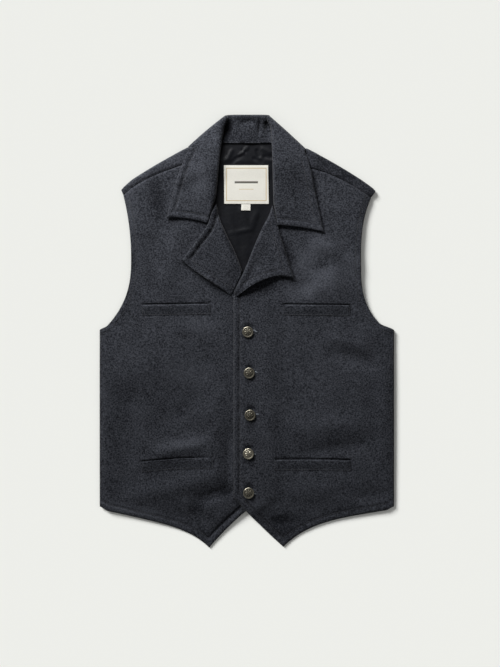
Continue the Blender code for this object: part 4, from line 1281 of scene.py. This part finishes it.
def fall_half(side):
    """Middle surface of half the fall: straight from edge to fold, turned over by half a circle at the
    corner, then a hairpin at the fold. Rows follow the band, columns run from its edge to the hairpin."""
    columns = np.array(FALL[side]).T
    shares = np.concatenate([np.linspace(*rows) for rows in FALL_ROWS])
    values = [soften(np.interp(shares, columns[0], column)) for column in columns[1:]]
    edge_px, edge_py, fold_px, fold_py, turn = values
    edge = join(edge_px, edge_py)
    fold = join(fold_px, fold_py)
    way = unit(fold - edge)
    sign = np.sign(edge_px[-1])
    outward = join(way[:, 1], -way[:, 0]) * sign
    across = np.concatenate([np.linspace(*places) for places in FALL_COLUMNS])
    plan = edge[:, None] + across[None, :, None] * (fold - edge)[:, None]
    arch = FALL_END_ARCH[side] * ramp(shares, ARCH_ALONG)
    plan[..., 1] += arch[:, None] * 4.0 * across * (1.0 - across)
    half_wall = COLLAR_WALL / 2.0
    neck_level = np.where(fold_py > NECK_LOW_Y, NECK_LEVEL, 0.0)
    looked = edge[:, None] + np.linspace(0.0, 1.0, 25)[None, :, None] * (fold - edge)[:, None]
    rest = np.maximum(garment_top(looked[..., 0], looked[..., 1]).max(axis=1), neck_level)
    low = soften(rest + FALL_EASE + half_wall)[:, None]
    high = np.maximum(low, (neck_level + FALL_EASE + half_wall)[:, None])
    on_top = low + (high - low) * ramp(across, NECK_ACROSS)
    for on_left, on_right, along_step, across_step in FALL_RISES:
        rise = (on_left if side == "left" else on_right) * ramp(shares, along_step)
        on_top = on_top + rise[:, None] * ramp(across, across_step)
    on_top[turn < 1.0] = on_top[np.argmax(turn >= 1.0)]
    bend = (on_top - half_wall) / 2.0
    angle = np.pi * turn[:, None]
    heights = half_wall + bend * (1.0 - np.cos(angle))
    slope_bulge = FALL_SLOPE_BULGE[side] * 4.0 * across * (1.0 - across)
    turned_out = (np.minimum(bend, FALL_TURN_LIMIT) + slope_bulge) * np.sin(angle)
    plan = plan + outward[:, None] * turned_out[..., None]
    band = stack(plan, heights)
    radius = np.interp(shares, *zip(*FALL_FOLD_RADII))[:, None]
    normal = np.concatenate((outward * np.sin(angle), -np.cos(angle)), axis=-1)
    facing = 0.5 * np.pi * ramp(shares, FACING_ALONG)
    bulge = join(-sign * np.sin(facing), np.cos(facing), np.zeros_like(facing))
    arc = [band[:, -1] + radius * (np.sin(step) * bulge - (1.0 - np.cos(step)) * normal)
           for step in HAIRPIN_TURNS]
    return np.concatenate((band, np.stack(arc, axis=1)), axis=1), turn


left_fall, left_turn = fall_half("left")
right_fall, right_turn = fall_half("right")
fall_middle = np.concatenate((left_fall[::-1], right_fall[1:]))
fall_turn = np.concatenate((left_turn[::-1], right_turn[1:]))
fall_normal = unit(np.cross(np.gradient(fall_middle, axis=1), np.gradient(fall_middle, axis=0)))
fall_x, fall_y = fall_middle[..., 0], fall_middle[..., 1]
fall_edges = {"left": (fall_middle[:FRONT_ROWS, 0, :2], fall_middle[0, :FACE_COLUMNS, :2]),
              "right": (fall_middle[-FRONT_ROWS:, 0, :2], fall_middle[-1, :FACE_COLUMNS, :2])}
fall_relief = np.zeros_like(fall_x)
fall_away = np.zeros_like(fall_x)
for side, on_side in (("left", fall_x < 0.0), ("right", fall_x >= 0.0)):
    to_side, to_end = (distance_to(fall_x, fall_y, line) for line in fall_edges[side])
    away = np.minimum(to_side, to_end)
    depth = FALL_END_GROOVE[side] + (FALL_SIDE_GROOVE[side] - FALL_END_GROOVE[side]) * nearer(to_side, to_end)
    relief = stitched_edge(fall_x, fall_y, away, EDGE_INSET, depth, seed=41, edge_run=FALL_GROOVE_RUN)
    fall_relief[on_side] = relief[on_side]
    fall_away[on_side] = away[on_side]
fall_relief = fall_relief * ramp(fall_turn, STITCHED_TURN)[:, None]
fall_relief[:, FACE_COLUMNS:] *= np.linspace(1.0, 0.0, len(HAIRPIN_TURNS))
# The outer side is the one that faces up where the fall lies on the left front.
fall_outer = np.sign(fall_normal[4, 20, 2]) * fall_normal
fall_thin = FALL_THIN + (1.0 - FALL_THIN) * smooth(fall_away / FALL_THIN_RUN)
fall_half_wall = COLLAR_WALL / 2.0 * fall_thin[..., None]
fall_top = fall_middle + fall_outer * (fall_half_wall + fall_relief[..., None])
fall_under = fall_middle - fall_outer * fall_half_wall
collar = cloth_shell("collar_fall_band", fall_top, fall_under, melton)

fall_lines = []
for side, (outline, end_line) in fall_edges.items():
    border = (end_line[::-1], outline) if side == "left" else (outline, end_line)
    border = evenly(np.concatenate(border))
    seam = inset_line(border, EDGE_INSET, -1.0, border)
    face = fall_top[:FRONT_ROWS] if side == "left" else fall_top[-FRONT_ROWS:]
    fall_lines.append(on_grid(face[:, :FACE_COLUMNS], seam))
fall_thread = stitches("collar_topstitch", fall_lines)
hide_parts("collar_fall")

# The stand rises from the neck seam and rolls over at the top into the fall behind it. The cloth is
# creased a little to the right of its middle.
STAND_HALF = 47.0
STAND_TOP_HALF = 40.0
STAND_SINK = (8.0, 4.0)
STAND_SINK_RUN = 26.0
# Steps up the stand, where its sides sink in and where they come partly back. Each: start, run.
SINK_RISE = (0.05, 0.5)
BACK_RISE = (0.7, 0.3)
BACK_SHARE = 0.6
STAND_COLUMNS = 76
STAND_ROWS = 44
STAND_SEAM_Y = LINING_TOP_Y + GAP
STAND_SEAM_Z = 9.6
STAND_TOP_Y = 382.6
STAND_ROLL = 5.1
STAND_CORNER = 0.6
STAND_CORNER_START = 36.0
STAND_CROWN_Z = 14.5
STAND_CURVE = 2.5
STAND_RIPPLE = 0.25
STAND_RIPPLE_LENGTH = 16.0
STAND_CREASES = (
    (20.5, 354, 21.5, 376, 3, -2.6),
    (27.5, 344, 26.5, 378, 4.6, 1),
    (35, 362, 33, 376, 4, -2.6),
    (2, 336, 8, 372, 11, 1.6),
    (-14, 372, 10, 378, 5, -1.2),
)
stand_x = np.linspace(-STAND_HALF, STAND_HALF, STAND_COLUMNS)
stand_corner = smooth((np.abs(stand_x) - STAND_CORNER_START) / (STAND_HALF - STAND_CORNER_START))
stand_top_y = STAND_TOP_Y - STAND_CORNER * stand_corner ** 2
stand_rise = np.linspace(0.0, 1.0, STAND_ROWS)[:, None]
stand_y = STAND_SEAM_Y + stand_rise * (stand_top_y - STAND_SEAM_Y)
stand_z = STAND_SEAM_Z + (STAND_CROWN_Z - STAND_SEAM_Z) * stand_rise ** STAND_CURVE
stand_narrow = stand_x * (1.0 + (STAND_TOP_HALF / STAND_HALF - 1.0) * stand_rise)
stand_sides = (STAND_SINK[0] * (1.0 - smooth((stand_x + STAND_HALF) / STAND_SINK_RUN))
               + STAND_SINK[1] * (1.0 - smooth((STAND_HALF - stand_x) / STAND_SINK_RUN)))
stand_sunk = stand_sides * ramp(stand_rise, SINK_RISE) * (1.0 - BACK_SHARE * ramp(stand_rise, BACK_RISE))
stand_face = join(stand_narrow, stand_y, stand_z - stand_sunk)
stand_crease = ridges(stand_face[..., 0], stand_face[..., 1], STAND_CREASES, PLEAT_FADE)
stand_uneven = ripple(stand_face[..., 0], stand_face[..., 1], STAND_RIPPLE_LENGTH, seed=51)
stand_face[..., 2] += stand_crease + STAND_RIPPLE * stand_uneven
stand_turns = np.radians(np.linspace(0.0, 165.0, 18))[1:, None]
stand_roll = join(
    stand_narrow[-1], stand_top_y + STAND_ROLL * np.sin(stand_turns),
    stand_face[-1, :, 2] - STAND_ROLL * (1.0 - np.cos(stand_turns)))
stand_middle = np.concatenate((stand_face, stand_roll))
stand_normal = unit(np.cross(np.gradient(stand_middle, axis=1), np.gradient(stand_middle, axis=0)))
# The stand uses the darker copy of the melton, with painted shade.
stand = cloth_shell("collar_stand_band", stand_middle + stand_normal * COLLAR_WALL / 2.0,
                    stand_middle - stand_normal * COLLAR_WALL / 2.0, melton_painted_shade)
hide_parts("collar_stand")


# The buttons and buttonholes
# Five shank buttons of stamped brass, plated dark and worn bright on the rim and on a small rosette. Each
# comes up through a worked buttonhole in the right front; the pale end of its thread shows beside it.

# One row for each button. Columns: share of the plating worn off, slope in x, slope in y.
BUTTON_STATES = (
    (0.23, 0.02, 0.03),
    (0.16, -0.02, 0.02),
    (0.02, 0.03, -0.02),
    (0.75, 0.05, -0.06),
    (0.21, 0.02, 0.03),
)
# Columns: radius, height above the seat, from the foot round the rim to the middle of the face.
BUTTON_PROFILE = np.array((
    (7.6, 0.0), (8.8, 0.25), (9.5, 0.75), (9.9, 1.4), (10.0, 2.0), (9.85, 2.6), (9.5, 3.1), (9.0, 3.45),
    (8.5, 3.5), (8.0, 3.4), (7.6, 3.24), (7.2, 3.16), (6.7, 3.22), (6.2, 3.34), (5.6, 3.5), (5.0, 3.64),
    (4.4, 3.75), (3.8, 3.86), (3.2, 3.95), (2.6, 4.02), (2.0, 4.08), (1.4, 4.12), (0.7, 4.15)))
BUTTON_FACE_ROW = 11
BUTTON_SIDES = 64
PETALS = 8
PETAL_RADIUS = 4.5
PETAL_WIDTH = 1.2
PETAL_HEIGHT = 0.34
BOSS_RADIUS = 1.5
BOSS_HEIGHT = 0.3
CROWN_RISE = 0.1
RIM_RADIUS = 9.0
RIM_WIDTH = 0.9
# Shares of the plating worn off: everywhere, on rim, petals and boss, and at the middles of foot and face.
WEAR = 0.18
RIM_WEAR = 0.60
PETAL_WEAR = 0.35
BOSS_WEAR = 0.3
MIDDLE_WEAR = (0.0, 0.6)
BRASS_DARK = (0.036, 0.032, 0.024, 1.0)
BRASS_BRIGHT = (0.58, 0.54, 0.43, 1.0)
BRASS_ROUGHNESS = 0.38
PLATED_ROUGHNESS = 0.50
WORN_SMOOTHER = 0.16
SPOT_LENGTH = 1.6
SPOT_SHARE = 0.7

brass, brass_shader = new_material("aged_brass", BRASS_BRIGHT[:3], BRASS_ROUGHNESS, Metallic=1.0)
brass_at = object_position(brass)
brass_wear = brass_at.node("ShaderNodeAttribute", {"attribute_name": "wear"}, {}, output=2)
brass_tone = (brass_wear + brass_at.noise(SPOT_LENGTH) * SPOT_SHARE).clip()
feed(brass_shader, "Base Color", brass_tone.mix(BRASS_DARK, BRASS_BRIGHT))
feed(brass_shader, "Roughness", PLATED_ROUGHNESS - brass_tone * WORN_SMOOTHER)


def make_button(number, place_x, place_y, worn, slope_x, slope_y):
    """Turned profile with a rosette on its face: a cosine of eight petals times a bell over the radius."""
    angle = np.linspace(0.0, 2.0 * np.pi, BUTTON_SIDES, endpoint=False)
    radius = BUTTON_PROFILE[:, :1]
    petals = np.exp(-((radius - PETAL_RADIUS) / PETAL_WIDTH) ** 2) * np.cos(PETALS * angle)
    boss = np.exp(-(radius / BOSS_RADIUS) ** 2)
    on_face = (np.arange(len(radius)) > BUTTON_FACE_ROW)[:, None]
    relief = on_face * (PETAL_HEIGHT * petals + BOSS_HEIGHT * boss)
    x, y = radius * np.cos(angle), radius * np.sin(angle)
    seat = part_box(f"button_{number}")[0].z / MM
    z = seat + BUTTON_PROFILE[:, 1:] + relief + slope_x * x + slope_y * y
    points = join(place_x + x, place_y + y, z).reshape(-1, 3)
    middle = np.array(((place_x, place_y, seat), (place_x, place_y, z[-1].mean() + CROWN_RISE)))
    index = np.arange(z.size).reshape(z.shape)
    foot = join(z.size, np.roll(index[0], -1), index[0])
    crown = join(z.size + 1, index[-1], np.roll(index[-1], -1))
    faces = tube(index).tolist() + foot.tolist() + crown.tolist()
    piece = add_mesh(f"brass_button_{number}", np.concatenate((points, middle)), faces, brass)
    rim = np.exp(-((radius - RIM_RADIUS) / RIM_WIDTH) ** 2)
    wear = WEAR + worn + RIM_WEAR * rim + on_face * (PETAL_WEAR * petals + BOSS_WEAR * boss)
    wear = np.append(np.clip(wear, 0.0, 1.0), MIDDLE_WEAR)
    piece.data.attributes.new("wear", "FLOAT", "POINT").data.foreach_set("value", wear)
    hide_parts(f"button_{number}")


for number, (place, state) in enumerate(zip(RIGHT["buttons"], BUTTON_STATES), start=1):
    make_button(number, *place, *state)

# Where the pale end of each buttonhole starts and ends, from the button's middle. Columns: x, y, x, y.
HOLE_ENDS = (
    (9.8, 4.2, 17.8, -1.0),
    (10.2, 3.2, 15.6, 0.2),
    (9.8, 2.2, 16.6, 1.4),
    (9.6, -0.4, 14.2, -1.0),
    (9.8, -1.0, 13.4, -2.4),
)
HOLE_COLOUR = (0.24, 0.27, 0.31)
HOLE_LAYERS = (-0.45, 0.45)
HOLE_RADIUS = 0.4
# Shares of the pale end's length: from one stitch to the next, so that only one fits, and the stitch itself.
HOLE_PITCH = 0.9
HOLE_STITCH = 0.85

hole_thread = make_thread("pale_thread", HOLE_COLOUR, 0.6)
for number, (place, ends) in enumerate(zip(RIGHT["buttons"], HOLE_ENDS), start=1):
    hole_start = np.array(place) + ends[:2]
    hole_run = np.array(place) + ends[2:] - hole_start
    length = math.hypot(*hole_run)
    hole_side = np.array((-hole_run[1], hole_run[0])) / length
    hole_line = hole_start + np.linspace(0.0, 1.0, 12)[:, None] * hole_run
    hole_lines = [on_front(RIGHT, hole_line + layer * hole_side) for layer in HOLE_LAYERS]
    stitches(f"buttonhole_thread_{number}", hole_lines, hole_thread,
             pitch=HOLE_PITCH * length, length=HOLE_STITCH * length, radius=HOLE_RADIUS)


# The label
# A cream woven label sewn to the lining below the neck seam, with a gold line woven round it and a plain
# dark bar over a short gold rule. A narrow bare tab is caught under its lower edge.

LABEL_LOW = ((-41.9, 229.2), (38.5, 229.0))
LABEL_HIGH = ((-42.5, 298.4), (37.2, 298.4))
LABEL_WALL = 0.7
LABEL_WAVE = 0.25
LABEL_WAVE_LENGTH = 26.0
LABEL_STIFFNESS = 0.6
LABEL_MIDDLE = (-2.2, 264.0)
LABEL_LINE_HALF = (35.8, 29.0)
LABEL_LINE_WIDTH = 0.75
# Each bar: middle y, half width, half height.
LABEL_BAR = (268.0, 21.0, 1.8)
LABEL_RULE = (255.5, 13.0, 0.5)
BAR_SOFTNESS = 0.35
GOLD_SHARE = 0.75
INK_SHARE = 0.9
# Columns and rows of the mesh.
LABEL_GRID = (64, 56)
TAB_GRID = (20, 14)
TAB_LOW = ((-11.4, 217.2), (5.2, 217.2))
TAB_HIGH = ((-11.0, 228.6), (5.6, 228.6))
LABEL_CREAM = (0.96, 0.94, 0.85, 1.0)
LABEL_SHADE = (0.80, 0.78, 0.71, 1.0)
LABEL_GOLD = (0.62, 0.45, 0.20, 1.0)
LABEL_INK = (0.055, 0.048, 0.036, 1.0)
TAPE_ROUGHNESS = 0.75
TAPE_TONE = 0.16
WEAVE_WAVES = 5600.0
WEAVE_SHARE = 0.12
WEAVE_HEIGHT = 0.12
SLUB_LENGTH = 2.2
SLUB_SHARE = 0.5


def woven_cream(name):
    """Cream taffeta of fine even weave: its material, shader and colour, and x and y in millimetres."""
    material, shader = new_material(name, LABEL_CREAM[:3], TAPE_ROUGHNESS, Specular_IOR_Level=0.25)
    position = object_position(material)
    across, along = position.axes()
    weave = position.math("SINE", across * WEAVE_WAVES) * position.math("SINE", along * WEAVE_WAVES)
    tone = (TAPE_TONE + weave * WEAVE_SHARE + position.noise(SLUB_LENGTH) * SLUB_SHARE).clip()
    feed(shader, "Normal", weave.bump(WEAVE_HEIGHT))
    return material, shader, tone.mix(LABEL_CREAM, LABEL_SHADE), across * (1.0 / MM), along * (1.0 / MM)


def on_lining(low, high, columns, rows):
    """Top of a tape between two straight edges on the lining, bridging its hollows in part, faintly wavy."""
    u = np.linspace(0.0, 1.0, columns)[None, :, None]
    v = np.linspace(0.0, 1.0, rows)[:, None, None]
    low, high = np.array(low), np.array(high)
    plan = (1.0 - v) * (low[0] + u * (low[1] - low[0])) + v * (high[0] + u * (high[1] - high[0]))
    x, y = plan[..., 0], plan[..., 1]
    rest = lining_top(x, y)
    bridge = rest[:1] + v[..., 0] * (rest[-1:] - rest[:1])
    rest = rest + LABEL_STIFFNESS * np.maximum(bridge - rest, 0.0)
    wave = LABEL_WAVE * (1.0 + ripple(x, y, LABEL_WAVE_LENGTH, seed=61))
    return stack(plan, rest + GAP + LABEL_WALL + wave)


label_cloth, label_shader, label_colour, label_x, label_y = woven_cream("label_weave")
from_x = label_x.math("ABSOLUTE", label_x - LABEL_MIDDLE[0])
from_y = label_x.math("ABSOLUTE", label_y - LABEL_MIDDLE[1])
off_line = label_x.math("MAXIMUM", from_x - LABEL_LINE_HALF[0], from_y - LABEL_LINE_HALF[1])
gold_line = 1.0 - label_x.math("ABSOLUTE", off_line).step(LABEL_LINE_WIDTH * 0.6, LABEL_LINE_WIDTH * 1.3)


def woven_bar(bar):
    """Share of a straight woven bar: one within its half width and half height, soft at the edge."""
    from_bar = label_x.math("ABSOLUTE", label_y - bar[0])
    beyond = label_x.math("MAXIMUM", from_x - bar[1], from_bar - bar[2])
    return 1.0 - beyond.step(-BAR_SOFTNESS, BAR_SOFTNESS)


gold_share = (gold_line + woven_bar(LABEL_RULE)) * GOLD_SHARE
label_colour = gold_share.mix(label_colour, LABEL_GOLD)
feed(label_shader, "Base Color", (woven_bar(LABEL_BAR) * INK_SHARE).mix(label_colour, LABEL_INK))

label_top = on_lining(LABEL_LOW, LABEL_HIGH, *LABEL_GRID)
label = cloth_shell("label_woven", label_top, label_top - (0.0, 0.0, LABEL_WALL), label_cloth)
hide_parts("label")

tab_cloth, tab_shader, tab_colour, *_ = woven_cream("tab_weave")
feed(tab_shader, "Base Color", tab_colour)
tab_top = on_lining(TAB_LOW, TAB_HIGH, *TAB_GRID)
tab = cloth_shell("size_tab_woven", tab_top, tab_top - (0.0, 0.0, LABEL_WALL), tab_cloth)
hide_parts("size_tab")


# The floor, light and camera
# A plain pale floor, a broad soft light from the upper left over an even fill, and a camera straight
# above the vest, framed as a 500 by 667 picture.

FLOOR_COLOUR = (0.868, 0.876, 0.838)
FLOOR_SIDE = 12000.0
FLOOR_DROP = 0.3
PICTURE_HEIGHT = 1200.6
CAMERA_AT = (4.5, -4.5)
CAMERA_HEIGHT = 2200.0
GARMENT_LEVEL = 9.0
SENSOR = 36.0
FILL_STRENGTH = 0.09
KEY_STRENGTH = 1.52
KEY_ELEVATION = 32.0
KEY_AZIMUTH = 132.0
KEY_SOFTNESS = 12.0
FLOOR_KEY_STRENGTH = 4.39
FLOOR_KEY_ELEVATION = 30.0
FLOOR_KEY_SOFTNESS = 24.0
FLOOR_FILL_STRENGTH = 0.60
FLOOR_FILL_SOFTNESS = 120.0
TOP_AT = (-250.0, 960.0, 460.0)
TOP_AIM = (0.0, 100.0, 0.0)
TOP_SIZE = 450.0
TOP_POWER = 9.5

floor_material, _ = new_material("pale_floor", FLOOR_COLOUR, 0.9, Specular_IOR_Level=0.0)
floor_mesh = bpy.data.meshes.new("floor")
floor_corners = FLOOR_SIDE / 2.0 * np.array(((-1.0, -1.0), (1.0, -1.0), (1.0, 1.0), (-1.0, 1.0)))
floor_mesh.from_pydata((stack(floor_corners, np.full(4, -FLOOR_DROP)) * MM).tolist(), [], [(0, 1, 2, 3)])
floor_mesh.materials.append(floor_material)
floor = bpy.data.objects.new("floor", floor_mesh)
bpy.context.scene.collection.objects.link(floor)

world = bpy.data.worlds.new("studio")
bpy.context.scene.world = world
world.use_nodes = True
world.node_tree.nodes["Background"].inputs["Color"].default_value = (1.0, 1.0, 1.0, 1.0)
world.node_tree.nodes["Background"].inputs["Strength"].default_value = FILL_STRENGTH

# A low key rakes over the cloth of the vest, and a lamp close to the collar, on the vest alone, falls off
# towards the hem. The floor has a key and a fill of its own, which keep it pale.
vest_only = bpy.data.collections.new("vest_only")
floor_only = bpy.data.collections.new("floor_only")
for piece in bpy.context.scene.objects:
    if piece.type == "MESH":
        (floor_only if piece == floor else vest_only).objects.link(piece)


def add_light(name, kind, strength, receivers=None):
    """Light of a kind and strength at the origin, on all pieces or on those of one collection."""
    data = bpy.data.lights.new(name, kind)
    data.energy = strength
    light = bpy.data.objects.new(name, data)
    bpy.context.scene.collection.objects.link(light)
    if receivers:
        light.light_linking.receiver_collection = receivers
    return light


for name, strength, elevation, softness, receivers in (
        ("key", KEY_STRENGTH, KEY_ELEVATION, KEY_SOFTNESS, vest_only),
        ("floor_key", FLOOR_KEY_STRENGTH, FLOOR_KEY_ELEVATION, FLOOR_KEY_SOFTNESS, floor_only),
        ("floor_fill", FLOOR_FILL_STRENGTH, 90.0, FLOOR_FILL_SOFTNESS, floor_only)):
    key = add_light(name, "SUN", strength, receivers)
    key.data.angle = math.radians(softness)
    key.rotation_euler = (0.0, math.radians(90.0 - elevation), math.radians(KEY_AZIMUTH))
top_light = add_light("top", "AREA", TOP_POWER, vest_only)
top_light.data.size = TOP_SIZE * MM
top_light.location = np.array(TOP_AT) * MM
top_light.rotation_euler = (Vector(TOP_AIM) - Vector(TOP_AT)).to_track_quat("-Z", "Y").to_euler()

camera_data = bpy.data.cameras.new("camera")
camera_data.sensor_width = SENSOR
camera_data.lens = SENSOR * (CAMERA_HEIGHT - GARMENT_LEVEL) / PICTURE_HEIGHT
camera = bpy.data.objects.new("camera", camera_data)
camera.location = (CAMERA_AT[0] * MM, CAMERA_AT[1] * MM, CAMERA_HEIGHT * MM)
bpy.context.scene.collection.objects.link(camera)
bpy.context.scene.camera = camera
bpy.context.scene.view_settings.view_transform = "Standard"
